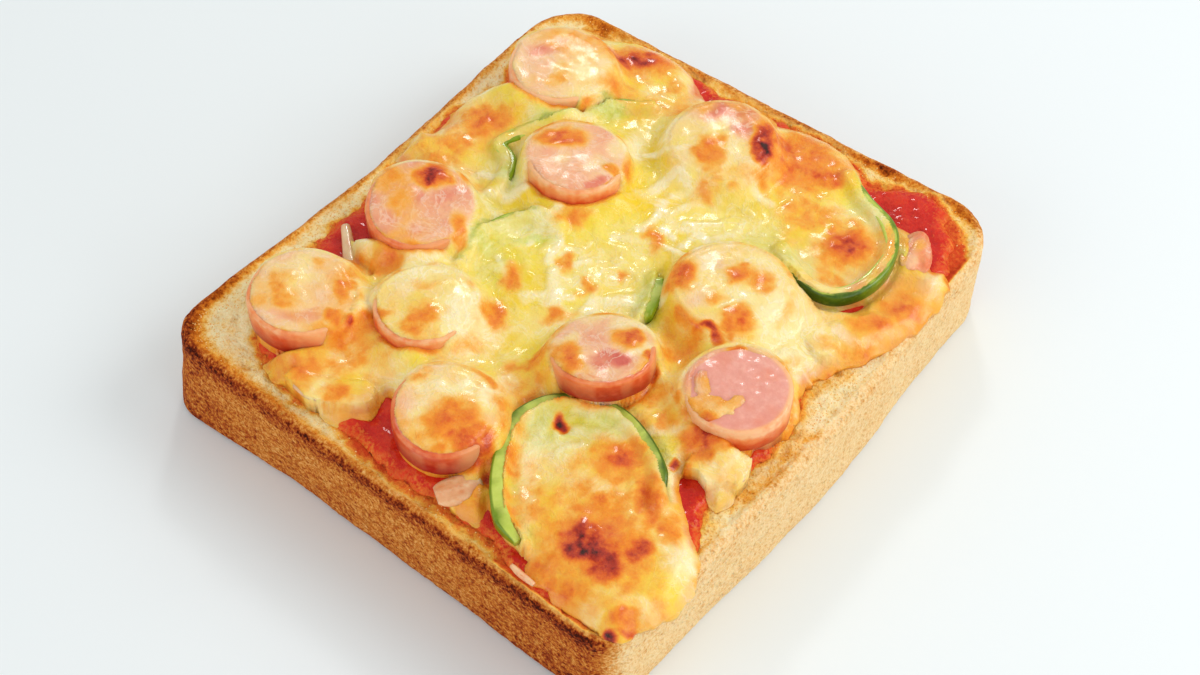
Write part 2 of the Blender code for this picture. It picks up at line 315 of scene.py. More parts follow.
def give(socket, value):
    # link a socket to a value from another node, or set it
    if isinstance(value, Sock):
        value.tree.links.new(value.socket, socket)
    else:
        socket.default_value = value


class Sock:
    # what a node gives out; sums on it add Math nodes
    def __init__(self, tree, socket):
        self.tree, self.socket = tree, socket

    def maths(self, operation, other=None, flip=False):
        node = self.tree.nodes.new("ShaderNodeMath")
        node.operation = operation
        given = (other, self) if flip else (self, other)
        for socket, value in zip(node.inputs, given):
            if value is not None:
                give(socket, value)
        return Sock(self.tree, node.outputs[0])

    def __add__(self, other):
        return self.maths("ADD", other)

    def __sub__(self, other):
        return self.maths("SUBTRACT", other)

    def __rsub__(self, other):
        return self.maths("SUBTRACT", other, flip=True)

    def __mul__(self, other):
        return self.maths("MULTIPLY", other)

    __radd__ = __add__
    __rmul__ = __mul__

    def clamped(self):
        held = self.maths("ADD", 0.0)
        held.socket.node.use_clamp = True
        return held

    def eased(self, low, high):
        node = self.tree.nodes.new("ShaderNodeMapRange")
        node.interpolation_type = "SMOOTHSTEP"
        give(node.inputs["Value"], self)
        give(node.inputs["From Min"], low)
        give(node.inputs["From Max"], high)
        return Sock(self.tree, node.outputs["Result"])


def paint(r, g, b):
    # a colour as read from 0 to 255, made linear
    linear = [c / 255 / 12.92 if c <= 10 else ((c / 255 + 0.055) / 1.055) ** 2.4 for c in (r, g, b)]
    return (*linear, 1.0)


class Nodes:
    # adds nodes to a tree
    def __init__(self, tree):
        self.tree = tree

    def node(self, kind, settings=None, out=0, **values):
        # a value's key is its socket's name, or i and its number
        made = self.tree.nodes.new(kind)
        for key, value in (settings or {}).items():
            if key == "stops":
                ramp = made.color_ramp
                while len(ramp.elements) < len(value):
                    ramp.elements.new(0.5)
                for element, (where, *colour) in zip(ramp.elements, value):
                    element.position = where
                    element.color = paint(*colour)
            else:
                setattr(made, key, value)
        for key, value in values.items():
            give(made.inputs[int(key[1:]) if key[1:].isdigit() else key.replace("_", " ")], value)
        return Sock(self.tree, made.outputs[out])


class Finish(Nodes):
    # a material and its nodes
    def __init__(self, name, **fixed):
        self.material = bpy.data.materials.new(name)
        self.material.use_nodes = True
        super().__init__(self.material.node_tree)
        self.shader = self.tree.nodes["Principled BSDF"]
        self.set(**fixed)
        self.place = self.node("ShaderNodeTexCoord", out="Object")

    def set(self, **values):
        for key, value in values.items():
            give(self.shader.inputs[key.replace("_", " ")], value)
        return self.material

    def marks(self, *names):
        return [self.node("ShaderNodeAttribute", {"attribute_name": name}, out="Fac") for name in names]

    def grain(self, size, detail=3.0, rough=0.55, warp=0.0):
        # noise from 0 to 1 whose lumps are size mm across
        return self.node("ShaderNodeTexNoise", {"normalize": True}, out="Fac", Vector=self.place,
                         Scale=1000.0 / size, Detail=detail, Roughness=rough, Distortion=warp)

    def cells(self, size):
        return self.node("ShaderNodeTexVoronoi", out="Distance", Vector=self.place, Scale=1000.0 / size)

    def mix(self, share, a, b):
        # colours are sockets or 0 to 255; the Mix node's factor is input 0, its colours are 6 and 7
        a, b = (c if isinstance(c, Sock) else paint(*c) for c in (a, b))
        return self.node("ShaderNodeMix", {"data_type": "RGBA"}, out=2, i0=share, i6=a, i7=b)

    def ramp(self, value, *stops):
        return self.node("ShaderNodeValToRGB", {"stops": stops}, out="Color", Fac=value)

    def bumped(self, height, depth, strength=1.0):
        # depth in mm
        normal = self.node("ShaderNodeBump", out="Normal", Height=height, Distance=depth * mm,
                           Strength=strength)
        give(self.shader.inputs["Normal"], normal)


def mottle(grain, share):
    # noise from -share / 2 to share / 2
    return (grain - 0.5) * share


# The slice of bread. A corner is its x, y, radius, and the bow of the side that follows it.

bread = {
    "thick": 24.0,
    "corners": (
        (-61.9, -66.5, 8.5, 0.4),
        (57.9, -67.4, 7.0, 2.4),
        (59.3, 68.1, 12.0, -0.4),
        (-60.7, 62.6, 13.0, -1.8),
    ),
    "edge": 1.6,                      # rounding where the crust meets top and underside
    "rowGap": 0.56,
    "bottomInsets": (9.0, 5.0, 2.6),
    "flare": (-134, 14, 3.6),         # the foot that spreads: heading, half width, how far
    "marginWide": 12.5,               # of the cut top, which has fine rows
    "capInset": (14.5, 17.0),
    "poreCount": 520,
    "poreSeed": 5,
    "poreInset": (2.4, 12.0),
    "poreSizes": (0.45, 0.6, 0.8, 1.2),
    "poreShares": (0.4, 0.3, 0.2, 0.1),
    "poreDeep": 0.6,
    # bumps round the slice: heading in degrees, half width, size
    "darkSide": ((-134, 9, 0.14),),
    "burntRim": ((-134, 10, 0.34), (84, 3, 0.2), (66, 2, 0.24), (60, 2, 0.12), (50, 3, 0.1)),
    "burntCorner": ((-134, 12, 1),),
    "soaksFurther": ((40, 9, 2.4), (-58, 9, 2.4), (-80, 10, 1.0)),
    "soaksMore": ((38, 14, 1), (-112, 10, 1), (-62, 8, 1), (70, 16, 1), (-95, 8, 1)),
}


def breadOutline(gap):
    corners = np.array([c[:2] for c in bread["corners"]]) + slide
    count = len(corners)
    starts, ends, arcs = [], [], []
    for i in range(count):
        radius = bread["corners"][i][2]
        along = corners[i] - corners[i - 1]
        along /= np.hypot(*along)
        away = corners[(i + 1) % count] - corners[i]
        away /= np.hypot(*away)
        turn = math.atan2(along[0] * away[1] - along[1] * away[0], along @ away)
        trim = radius * math.tan(turn / 2)
        starts.append(corners[i] - along * trim)
        ends.append(corners[i] + away * trim)
        centre = starts[i] + np.array([-along[1], along[0]]) * radius
        first = math.atan2(-along[0], along[1])
        steps = max(6, int(radius * turn / gap))
        angles = first + turn * np.arange(steps + 1) / steps
        arcs.append(centre + radius * np.column_stack((np.cos(angles), np.sin(angles))))
    points = []
    for i in range(count):
        points.append(arcs[i])
        run = starts[(i + 1) % count] - ends[i]
        length = np.hypot(*run)
        outward = np.array([run[1], -run[0]]) / length
        steps = int(length / gap)
        t = (np.arange(1, steps) / steps)[:, None]
        bow = bread["corners"][i][3]
        points.append(ends[i] + run * t + outward * bow * np.sin(math.pi * t) ** 2)
    return np.vstack(points)


outline = breadOutline(bread["rowGap"])
plainOutline = breadOutline(3.0)


def headingOf(points):
    return np.degrees(np.arctan2(points[:, 1] - slide[1], points[:, 0] - slide[0]))


def bumps(heading, rows):
    return sum(size * np.exp(-((angleOff(heading, at) / wide) ** 2)) for at, wide, size in rows)


def sideShares(points):
    # how much each outline point faces -Y, +X, +Y and -X
    ahead = np.roll(points, -1, axis=0) - np.roll(points, 1, axis=0)
    normal = np.column_stack((ahead[:, 1], -ahead[:, 0]))
    normal /= np.hypot(*normal.T)[:, None]
    faces = [np.clip(v, 0, 1) ** 3 for v in (-normal[:, 1], normal[:, 0], normal[:, 1], -normal[:, 0])]
    total = sum(faces)
    return [f / total for f in faces]


def breadRows():
    # inset and height of each row of points, from the middle of the underside to that of the top
    edge, thick = bread["edge"], bread["thick"]
    rows = [(inset, 0.0) for inset in (*bread["bottomInsets"], edge)]
    rows += [(edge * (1 - math.sin(a)), edge * (1 - math.cos(a))) for a in (0.4, 0.8, 1.2)]
    sides = int((thick - 2 * edge) / bread["rowGap"])
    rows += [(0.0, edge + (thick - 2 * edge) * k / sides) for k in range(sides + 1)]
    for a in (0.3, 0.6, 0.9, 1.2, 1.57):
        rows.append((edge * (1 - math.cos(a)), thick - edge * (1 - math.sin(a))))
    rows += [(edge + s, thick) for s in np.arange(0.5, bread["marginWide"], 0.5)]
    return rows + [(inset, thick) for inset in bread["capInset"]]


def poreMark(top):
    # how deep each point of the cut top lies in a pore of the crumb
    pore = np.zeros(len(top))
    random = np.random.default_rng(bread["poreSeed"])
    for k in range(bread["poreCount"]):
        at = outline[random.integers(len(outline))]
        back = (slide - at) / np.hypot(*(slide - at))
        at = at + back * random.uniform(*bread["poreInset"])
        size = random.choice(bread["poreSizes"], p=bread["poreShares"]) * random.uniform(0.8, 1.25)
        lean = random.uniform(0, math.pi)
        d = top[:, :2] - at
        near = np.nonzero(np.abs(d).sum(1) < 3 * size)[0]
        u, v = turned(d[near], lean)
        u, v = u / (size * 1.5), v / size
        w = ease(1.15, 0.5, np.sqrt(u * u + v * v))
        pore[near] = np.maximum(pore[near], w * min(1, size))
    return pore


def breadMarks(p, inset, height, heading, onTop):
    # crust darkness: 0 pale to 1 nearly black, real toasting with painted light and shade on the crust's
    # sides and painted shade at its foot. cut: the cut top. stain: how far sauce has soaked in.
    thick = bread["thick"]
    tile = lambda values: np.tile(values, len(p) // len(outline))
    front, right, back, left = sides = sideShares(outline)
    compass = headingOf(outline)
    # each side's tone, and how dark it grows at its top edge and foot, is its toasting with painted light
    # and shade: painted shade darkens the front, painted light pales the right side
    side = 0.49 * front + 0.1 * right + 0.42 * back + 0.36 * left
    side += bumps(compass, bread["darkSide"]) + 0.1 * front * ease(-80, -55, compass)
    rim = 0.55 * front + 0.12 * right + 0.27 * back + 0.42 * left + bumps(compass, bread["burntRim"])
    further = bumps(compass, bread["soaksFurther"]) + 0.2 * front
    share = 0.7 + 0.3 * np.clip(bumps(compass, bread["soaksMore"]), 0, 1)
    tone, rim, further, share, front, right, back, left = map(tile, (side, rim, further, share, *sides))
    dark = front + 0.12 * right + 0.55 * back + 0.4 * left
    wander = 0.5 * cloud(p, 7, 21) + 0.3 * cloud(p, 3, 22)
    # the crust: darkest under the top edge, where it is toasted, and darker at the foot and over the lower
    # half, which is painted shade near the floor
    upper = ease(thick - 6.5 + 1.6 * np.clip(wander, -1, 1), thick - 0.5, height)
    foot = ease(3.0, 0.2, height)
    corner = bumps(heading, bread["burntCorner"])
    toast = tone + (0.17 * dark + 0.05 * front + 0.02) * upper + 0.09 * dark * foot
    toast = toast + 0.05 * dark * ease(13, 3, height)
    toast = np.where(onTop | (inset > 1.0) & (height > 12), 0, toast)
    # the cut top: a toasted band along the rim, and toasted patches
    onCut = (inset > 0.3) & (height > 12)
    limit = 0.9 - 0.42 * front - 0.24 * back + 0.2 * corner
    toastedTo = 2.3 + 3.2 * front + 2.6 * back + 2.2 * left + 3.4 * corner
    toastedFrom = 1.1 + 0.8 * back
    band = ease(toastedTo, toastedFrom, inset + 0.9 * wander) ** (1.8 - 0.8 * back)
    cutToast = np.minimum(rim, limit) * band + 0.03 + 0.1 * back
    patchy = np.clip(cloud(p, 4, 23) + 0.6 * cloud(p, 1.6, 27) + 0.5 * right + 0.3 * back, 0, 1.4)
    cutToast += (0.12 + 0.08 * right + 0.16 * back) * patchy * ease(0.8, 2.6, inset)
    toast = np.where(onCut, blend(toast, cutToast, ease(0.3, 1.2, inset)), toast)
    crest = np.maximum(toast, (tone * 0.9 + 0.22 * dark) * ease(1.4, 0.5, inset))
    toast = np.where(onCut & (inset < 1.2), crest, toast)
    cut = np.where(height > 12, ease(1.3, 2.4, inset + 0.25 * cloud(p, 2.5, 24)), 0)
    soak = sauceReach(p[:, :2]) + further + 1.2 * cloud(p, 3.5, 25) + 0.8 * cloud(p, 1.4, 26)
    stain = ease(-2.6, 0.8, soak) * cut
    return {"toast": np.clip(toast, 0, 1), "cut": cut, "stain": stain * share}


def buildBread(material):
    count, thick = len(outline), bread["thick"]
    rows = breadRows()
    reach = np.hypot(*(outline - slide).T)
    inward = np.tile((slide - outline) / reach[:, None], (len(rows), 1))
    inset, height = (np.repeat([row[k] for row in rows], count) for k in (0, 1))
    spots = np.tile(outline, (len(rows), 1)) + inward * inset[:, None]
    p = np.column_stack((spots, height))
    heading = headingOf(p)
    # the crust's own waves, the wrinkled skin, and the foot that spreads at one corner
    onSide = ease(3.0, 0.5, inset) * ease(0.0, 1.2, height)
    wave = relief(p, (0.45, 14, 3), (0.22, 5, 4))
    skin = 0.1 * clouds(p * np.array([1, 1, 0.8]), 1.7, 8, 3, 0.6)
    spread = bumps(heading, (bread["flare"],)) * (1 - height / thick) * ease(6, 0, inset)
    p[:, :2] -= inward * (onSide * (wave + skin) + spread)[:, None]
    # the cut top: the crust stands a little proud of the crumb, which is full of pores
    onTop = (height > thick - 0.3) & (inset > 1.0)
    rimUp = 0.25 * np.exp(-((inset - 1.9) / 0.9) ** 2) * (1 + 0.8 * cloud(p, 6, 12))
    crumb = -0.35 * ease(1.8, 3.4, inset) + 0.22 * cloud(p, 2.6, 15)
    crumb = crumb + 0.12 * cloud(p, 1.2, 16) + 0.25 * cloud(p, 9, 17)
    p[:, 2] += np.where(onTop, rimUp + crumb * ease(1.2, 2.6, inset) * ease(15, 11, inset), 0)
    pore = np.zeros(len(p))
    pore[onTop] = poreMark(p[onTop])
    p[:, 2] -= pore * bread["poreDeep"]
    faces = bands(len(rows), count)
    faces.append(list(range(count))[::-1])
    faces.append([(len(rows) - 1) * count + i for i in range(count)])
    marks = {**breadMarks(p, inset, height, heading, onTop), "pore": pore}
    return newPiece("breadSlice", p, faces, marks, material)


# Tomato sauce


sauceEdge = seenOutline(24.9, (
    (298, 262), (316, 239), (337, 221), (361, 205), (368, 194), (405, 151), (450, 113), (503, 82),
    (517, 46), (545, 35), (600, 38), (640, 45), (683, 66), (700, 78), (718, 92), (745, 103), (775, 118),
    (805, 131), (850, 158), (862, 177), (872, 182), (903, 186), (930, 195), (944, 208), (951, 230),
    (953, 255), (946, 272), (932, 290), (914, 306), (890, 324), (862, 343), (838, 357), (815, 372),
    (806, 388), (801, 405), (790, 428), (775, 444), (755, 462), (742, 474), (728, 484), (714, 496),
    (706, 515), (700, 535), (688, 575), (650, 612), (622, 626), (600, 622), (578, 614), (558, 606),
    (540, 597), (523, 583), (511, 568), (503, 554), (490, 535), (474, 523), (462, 519), (448, 507),
    (436, 499), (418, 488), (396, 477), (376, 461), (362, 446), (350, 432), (337, 421), (318, 408),
    (286, 384), (270, 364), (260, 350), (256, 335), (256, 318), (262, 290), (290, 265),
))

sauce = {
    "step": 0.55,
    "floor": 23.7,
    "edge": 23.85,                    # its rim is sunk a little into the crumb
    "low": 23.8,
    "top": 25.0,
    "rimWide": 3.0,
    "toastedWide": 3.8,
}


def sauceReach(points):
    return edgeDistance(points, sauceEdge)


def raggedSauce(points):
    return sauceReach(points) + 0.9 * cloud(points, 3.6, 31) + 0.5 * cloud(points, 1.5, 32)


def sauceShape(points):
    reach = np.maximum(raggedSauce(points), 0)
    rim = 1 - (1 - np.clip(reach / sauce["rimWide"], 0, 1)) ** 2
    pulp = 0.28 * cloud(points, 2.0, 33) + 0.3 * np.abs(cloud(points, 1.1, 34))
    pulp = pulp + 0.2 * cloud(points, 6, 35)
    height = sauce["edge"] + rim * (sauce["top"] - sauce["low"] + pulp)
    return height, {"rim": ease(sauce["toastedWide"], 0.0, reach), "pulp": pulp}


# Toppings: places as in the part, in mm from the drawing's middle

sausage = {
    # x, y, radius, height, lean in degrees, direction it leans up towards, lies on the sauce
    "coins": (
        (-40.9, 37.6, 11.5, 6.4, 3, 200, False), (0.7, 41.8, 11.2, 6.0, 4, 60, False),
        (-20.2, 17.7, 10.8, 6.6, 5, 250, False), (-37.4, -13.5, 11.6, 6.8, 3, 160, False),
        (-40.5, -45.8, 11.2, 7.0, 4, 240, True), (-19.1, -32.2, 10.4, 6.4, 2, 300, False),
        (26.8, 10.3, 11.9, 6.6, 3, 290, False), (17.2, -19.6, 10.5, 6.4, 12, 320, False),
        (43.4, -9.7, 10.8, 6.4, 4, 30, False), (1.6, -49.2, 10.8, 7.0, 3, 200, True),
    ),
    "seat": 26.55,
    "lowSeat": 25.6,
    "dome": 0.4,
    "round": 0.75,                    # of the shoulder
    "around": 132,
    "faceRings": 22,
    "shoulderRings": 8,
    # for each coin: the side left bare (direction, half width), how far the cheese banks up it,
    # how much redder its side is, how pink it looks through its film, and its cover
    "bareSides": ((-104, 66), (0, 0), (-55, 62), (-95, 66), (-100, 72),
                  (-82, 60), (-86, 0), (-42, 76), (-20, 92), (-98, 76)),
    "bank": (5.0, 3.0, 3.4, 5.0, 2.0, 3.8, 3.4, 1.2, 2.8, 0.6),
    "red": (0, 0, 0.05, 0.4, 0.2, 0.15, 0.6, 0.42, -0.1, 0.55),
    "blush": (0.5, 0.34, 0.6, 0.72, 0.5, 0.26, 0.34, 0.62, 0.7, 0.42),
    "cover": (1.0, 1.0, 1.0, 1.0, 1.0, 1.0, 1.0, 1.0, 0.0, 1.0),
    # ovals of cheese on the open one
    "patches": ((42.9, -16.6, 5.0, 3.0, -8), (46.6, -13.4, 2.4, 1.6, 10), (38.6, -13.0, 1.6, 3.4, 0)),
    # x, y, half width, half length, height, turn
    "scrap": (49.0, 46.2, 3.2, 5.6, 2.4, 33),
}
coinCount = len(sausage["coins"])


def coinFrame(i):
    # its middle, radius and height, the height of its seat, how steeply it leans and which way
    x, y, radius, height, lean, towards, low = sausage["coins"][i]
    lean = math.radians(lean)
    seat = (sausage["lowSeat"] if low else sausage["seat"]) + radius * math.sin(lean)
    return x + slide[0], y + slide[1], radius, height, seat, math.tan(lean), math.radians(towards)


def coinRadius(i, angle):
    # a coin is not quite round
    waves = 1 + 0.012 * np.sin(2 * angle + i) + 0.008 * np.sin(3 * angle + 2 * i)
    return sausage["coins"][i][2] * (waves + 0.005 * np.sin(7 * angle + i))


def coinPlace(i, points):
    # distance from its middle, angle there, and its radius at that angle
    x, y = coinFrame(i)[:2]
    dx, dy = points[:, 0] - x, points[:, 1] - y
    angle = np.arctan2(dy, dx)
    return np.hypot(dx, dy), angle, coinRadius(i, angle)


def coinTop(i, points, shoulder=True):
    # height of the coin's upper face over each point, with its rounded shoulder or without
    x, y, radius, height, seat, rise, way = coinFrame(i)
    away, angle, size = coinPlace(i, points)
    q = away / size
    face = sausage["dome"] * (1 - q * q * 0.9)
    if shoulder:
        bend = np.clip((q - (1 - sausage["round"] / radius)) * radius / sausage["round"], 0, 1)
        face = face - sausage["round"] * (1 - np.sqrt(np.clip(1 - bend * bend, 0, 1)))
    tilt = ((points[:, 0] - x) * math.cos(way) + (points[:, 1] - y) * math.sin(way)) * rise
    return seat + height + face + tilt


pepper = {
    "wall": 1.5,
    "high": 1.75,
    "seat": 26.55,
    "lines": {
        "pepper_ring_front": (
            (30.2, -60.9), (24.4, -59.0), (18.6, -53.6), (14.2, -46.4), (12.2, -40.0), (14.0, -33.4),
            (19.6, -28.8), (27.0, -26.6), (34.8, -28.4), (41.4, -32.4), (45.2, -37.6),
        ),
        "pepper_ring_right": (
            (26.8, 54.0), (32.6, 50.4), (40.4, 47.4), (45.0, 42.6), (46.6, 36.2), (45.8, 29.4),
            (42.4, 24.6), (36.8, 23.6), (31.4, 25.4), (27.4, 28.0),
        ),
        "pepper_strip_back": (
            (-19.5, 43.5), (-25.8, 38.2), (-28.7, 30.8), (-33.0, 24.0), (-37.2, 17.9),
            (-38.2, 13.2), (-33.6, 11.0), (-31.2, 6.4), (-30.4, 1.4),
        ),
        "pepper_arc_left": ((-21.9, -17.6), (-23.9, -10.4), (-23.4, -4.0), (-19.6, 1.4), (-12.9, 2.9)),
        "pepper_end_middle": ((11.4, 5.6), (13.6, 2.6), (14.8, -0.6), (15.6, -4.6)),
    },
    # along each: how far out from its middle line the cheese covers it
    "covered": {
        "pepper_ring_front": ((0, -0.6), (0.1, -0.8), (0.34, -1.0), (0.44, -0.4), (0.55, -0.2),
                              (0.8, 0.0), (0.93, 0.8), (1, 3)),
        "pepper_ring_right": ((0, 3), (0.06, 1.2), (0.14, 0.1), (0.22, 0.9), (0.5, 1.0),
                              (0.6, 0.9), (0.84, 0.9), (0.94, 2), (1, 3)),
        "pepper_strip_back": ((0, 1.0), (0.1, 0.95), (0.4, 1.0), (0.48, 3), (0.56, 3),
                              (0.62, 1.1), (0.82, 0.9), (0.92, 2), (1, 3)),
        "pepper_arc_left": ((0, 3), (0.12, 1.0), (0.4, 0.8), (0.72, 0.9), (0.8, 3), (1, 3)),
        "pepper_end_middle": ((0, 0.2), (0.5, -0.4), (1, 0.3)),
    },
    # along each: how deep the cheese falls away beside the skin
    "trench": {
        "pepper_ring_front": ((0, 1.6), (0.4, 1.0), (0.6, 0.7), (1, 0.4)),
        "pepper_ring_right": ((0, 0.3), (0.5, 0.8), (0.62, 2.6), (0.82, 2.6), (0.95, 0.4), (1, 0.3)),
        "pepper_strip_back": ((0, 0.2), (1, 0.1)),
        "pepper_arc_left": ((0, 0.5), (1, 0.5)),
        "pepper_end_middle": ((0, 0.6), (1, 0.6)),
    },
    # along each: how dark its skin is
    "deep": {
        "pepper_ring_front": ((0, 0.4), (0.35, 0.45), (0.5, 0.95), (1, 0.8)),
        "pepper_ring_right": ((0, 0.5), (0.5, 0.5), (0.6, 1.0), (1, 1.0)),
        "pepper_strip_back": ((0, 0.15), (1, 0.15)),
        "pepper_arc_left": ((0, 0.15), (1, 0.15)),
        "pepper_end_middle": ((0, 0.15), (1, 0.15)),
    },
    # the strip at the back shows its other side first
    "turnsOver": {"pepper_strip_back": 0.5},
}
pepperLines = {name: smoothLine(np.array(spots) + slide, 12) for name, spots in pepper["lines"].items()}


def skinSign(name, along):
    # which side of its line has the skin: 1 is the left
    return np.where(along < pepper["turnsOver"].get(name, -1), -1, 1)


def pepperValue(key, name, along):
    return np.interp(along, *zip(*pepper[key][name]))


onion = {
    # points along the sliver, half width, half height, whether it lies on the sauce
    "slivers": (
        (((-50.2, -23.6), (-45.6, -27.4), (-41.6, -30.4), (-36.6, -31.0)), 1.5, 0.9, True),
        (((10.2, -62.2), (12.4, -58.6), (14.4, -54.0)), 3.3, 0.75, True),
        (((47.2, -26.4), (50.6, -23.4), (54.2, -21.4)), 2.9, 0.9, False),
        (((4.4, -34.6), (6.2, -31.2), (8.2, -28.0)), 2.6, 0.8, False),
        (((-28.6, -60.4), (-22.6, -58.6), (-16.4, -54.4)), 2.5, 0.9, False),
        (((31.4, -64.6), (34.0, -64.9), (37.4, -65.1)), 0.7, 0.4, True),
        (((38.4, 18.4), (43.0, 16.2), (48.4, 13.0)), 2.4, 0.9, False),
    ),
    "seat": 27.25,
    "lowSeat": 25.6,
    "veil": (0.1, 0.45, 0.8, 0.8, 1.3, 0.0, 0.75),   # how much of each lies under the cheese
    "tan": (0.75, 1.7, 0.4, 0.5, 1.4, 2.0, 0.2),     # how baked each is
    "around": 28,
    "ribs": 2.6,
}
onionLines = [smoothLine(np.array(row[0]) + slide, 10) for row in onion["slivers"]]


def onionSeat(low):
    return onion["lowSeat"] if low else onion["seat"]


# Melted cheese, and the spots on it as read from the photo

coinLevel, cheeseLevel = 33.0, 28.6    # heights at which the spots lie

browningSpots = seenSpots({
    coinLevel: (
        (557, 82, 10, 10, 36, 0.25), (534, 83, 9, 9, 20, 0.1), (710, 155, 17, 20, 52, 0.5),
        (706, 160, 9, 10, 60, 0.2), (563, 143, 28, 12, 56, 0.7, 8), (560, 146, 14, 8, 64, 0.2, 8),
        (612, 174, 9, 7, 52, 0.35), (434, 180, 19, 14, 78, 0.5), (431, 184, 11, 8, 90, 0.1),
        (400, 206, 18, 20, 36, 0.5), (458, 230, 8, 15, 52, 0.3), (392, 243, 10, 9, 25, 0.1),
        (280, 293, 18, 23, 38, 0.7), (283, 305, 12, 10, 42, 0.1), (326, 289, 6, 6, 30, 0.2),
        (345, 290, 11, 13, 50, 0.35), (325, 263, 9, 6, 32, 0.2), (338, 318, 14, 10, 50, 0.2, 10),
        (349, 320, 7, 6, 78, 0.2), (422, 323, 18, 18, 52, 0.6), (425, 287, 18, 6, 30, 0.2, 5),
        (394, 305, 9, 16, 22, 0.1, -20), (445, 315, 8, 10, 25, 0.1), (683, 277, 15, 18, 60, 0.6),
        (738, 277, 15, 11, 56, 0.5), (757, 283, 20, 13, 40, 0.2), (716, 302, 13, 8, 36, 0.3),
        (738, 325, 20, 15, 55, 0.6), (568, 366, 14, 21, 54, 0.6, 8), (708, 331, 17, 5, 80, -0.3, -28),
        (628, 346, 17, 11, 64, 0.6), (650, 368, 9, 7, 66, 0.2, 30), (560, 388, 10, 6, 45),
        (735, 352, 13, 5, 64, 0.2), (706, 430, 23, 16, 68, 0.8), (707, 431, 12, 12, 82, 0.2),
        (688, 405, 9, 12, 42, 0.1), (730, 436, 16, 7, 50, 0.2), (456, 424, 34, 25, 50, 0.9),
        (478, 442, 17, 20, 66, 0.3), (462, 440, 24, 14, 60, 0.2), (418, 378, 14, 6, 44, 0.2, -5),
        (490, 462, 10, 9, 68, 0.1), (436, 449, 16, 6, 50),
    ),
    cheeseLevel: (
        (636, 61, 36, 13, 74, 1, -6), (632, 62, 22, 9, 84, 0.2, -6), (642, 62, 52, 22, 44, 0.4, -8),
        (674, 82, 13, 13, 40, 0.4), (650, 92, 55, 12, 24, 0.1), (600, 52, 10, 6, 50, 0.2),
        (763, 160, 13, 21, 84, 0.8), (760, 172, 10, 10, 78, 0.2), (803, 162, 52, 38, 50, 0.9, -15),
        (826, 180, 20, 12, 62, 0.5), (790, 172, 16, 16, 58, 0.2), (783, 147, 14, 12, 60, 0.3),
        (706, 196, 14, 11, 36, 0.3), (742, 188, 28, 11, 30, 0.2, -5), (762, 186, 16, 12, 42, 0.2),
        (808, 214, 42, 20, 38, 0.4, -25), (848, 244, 26, 18, 64, 0.9, -8), (850, 244, 15, 10, 74, 0.2, -8),
        (846, 246, 40, 31, 42, 0.4, -8), (892, 250, 12, 26, 30, 0.1), (830, 275, 22, 9, 36, 0.2, -30),
        (486, 121, 27, 20, 52, 1.1), (476, 126, 46, 33, 36, 0.6, 10), (436, 142, 33, 15, 35, 0.5, 10),
        (440, 156, 42, 9, 42, 0.3, 15), (430, 131, 16, 9, 32, 0.2), (388, 266, 20, 13, 48),
        (575, 222, 22, 8, 42, 0.3, 5), (395, 262, 40, 6, 42, 0, 5), (512, 277, 12, 15, 50, 0.5),
        (497, 316, 15, 17, 48, 0.5), (588, 286, 12, 10, 46, 0.45), (655, 238, 10, 13, 50, 0.45),
        (557, 318, 22, 7, 36, 0.3, 5), (567, 262, 7, 12, 42, 0.3), (621, 275, 6, 6, 42, 0.2),
        (554, 314, 12, 9, 46, 0.4), (528, 368, 38, 8, 40, 0.4, 12), (541, 361, 15, 7, 52, 0.2, 12),
        (470, 350, 26, 7, 34, 0.1, 10), (298, 366, 52, 19, 42, 0.3), (336, 397, 20, 15, 46, 0.3),
        (300, 398, 30, 16, 26, 0.1), (370, 368, 36, 22, 28, 0.1), (345, 341, 34, 12, 46, 0, 8),
        (372, 330, 18, 12, 50), (512, 462, 14, 22, 44, 0.2), (503, 410, 14, 9, 32, 0.2),
        (507, 448, 8, 10, 40, 0.1), (625, 458, 28, 16, 56, 0.7), (620, 466, 42, 30, 40, 0.3),
        (562, 496, 32, 13, 37, 0.3, 15), (538, 506, 17, 17, 34, 0.2), (600, 508, 42, 18, 46, 0.3, 10),
        (650, 503, 14, 34, 56, 0.3), (583, 542, 27, 22, 86, 1.2, -20), (590, 548, 16, 20, 93, 0.3, 20),
        (606, 566, 20, 22, 80, 0.3, 30), (615, 577, 12, 9, 72, 0.1), (636, 548, 22, 17, 70, 0.6),
        (602, 546, 60, 42, 55, 0.8, -15), (545, 562, 32, 17, 43, 0.2), (556, 582, 44, 13, 52, 0.2, -20),
        (600, 602, 46, 16, 30, 0.1, -15), (656, 590, 20, 30, 30, 0.1, 20), (622, 614, 24, 11, 50, 0.2, 15),
        (614, 631, 8, 6, 90, 0.2), (628, 624, 8, 6, 70, 0, 20), (660, 560, 14, 14, 26),
        (671, 524, 13, 20, 44, 0.3), (688, 467, 7, 7, 42, 0.2), (702, 456, 26, 11, 50, 0.2),
        (722, 478, 22, 18, 28, 0.2), (700, 505, 8, 20, 30), (668, 342, 12, 38, 36, 0, -5),
        (684, 350, 20, 24, 40), (655, 396, 22, 16, 40), (642, 420, 20, 14, 34), (668, 420, 16, 12, 42),
        (872, 320, 28, 17, 50, 0.2), (860, 346, 32, 13, 42, 0.2, 12), (902, 302, 28, 20, 52, 0.1),
        (842, 366, 25, 6, 58, 0.1, 15), (795, 365, 12, 12, 25, 0.1), (830, 345, 20, 10, 30, 0.1),
        (805, 395, 10, 20, 34, 0.1), (675, 464, 5, 4, 100, -0.3), (562, 424, 8, 8, 84, -0.7),
    ),
})
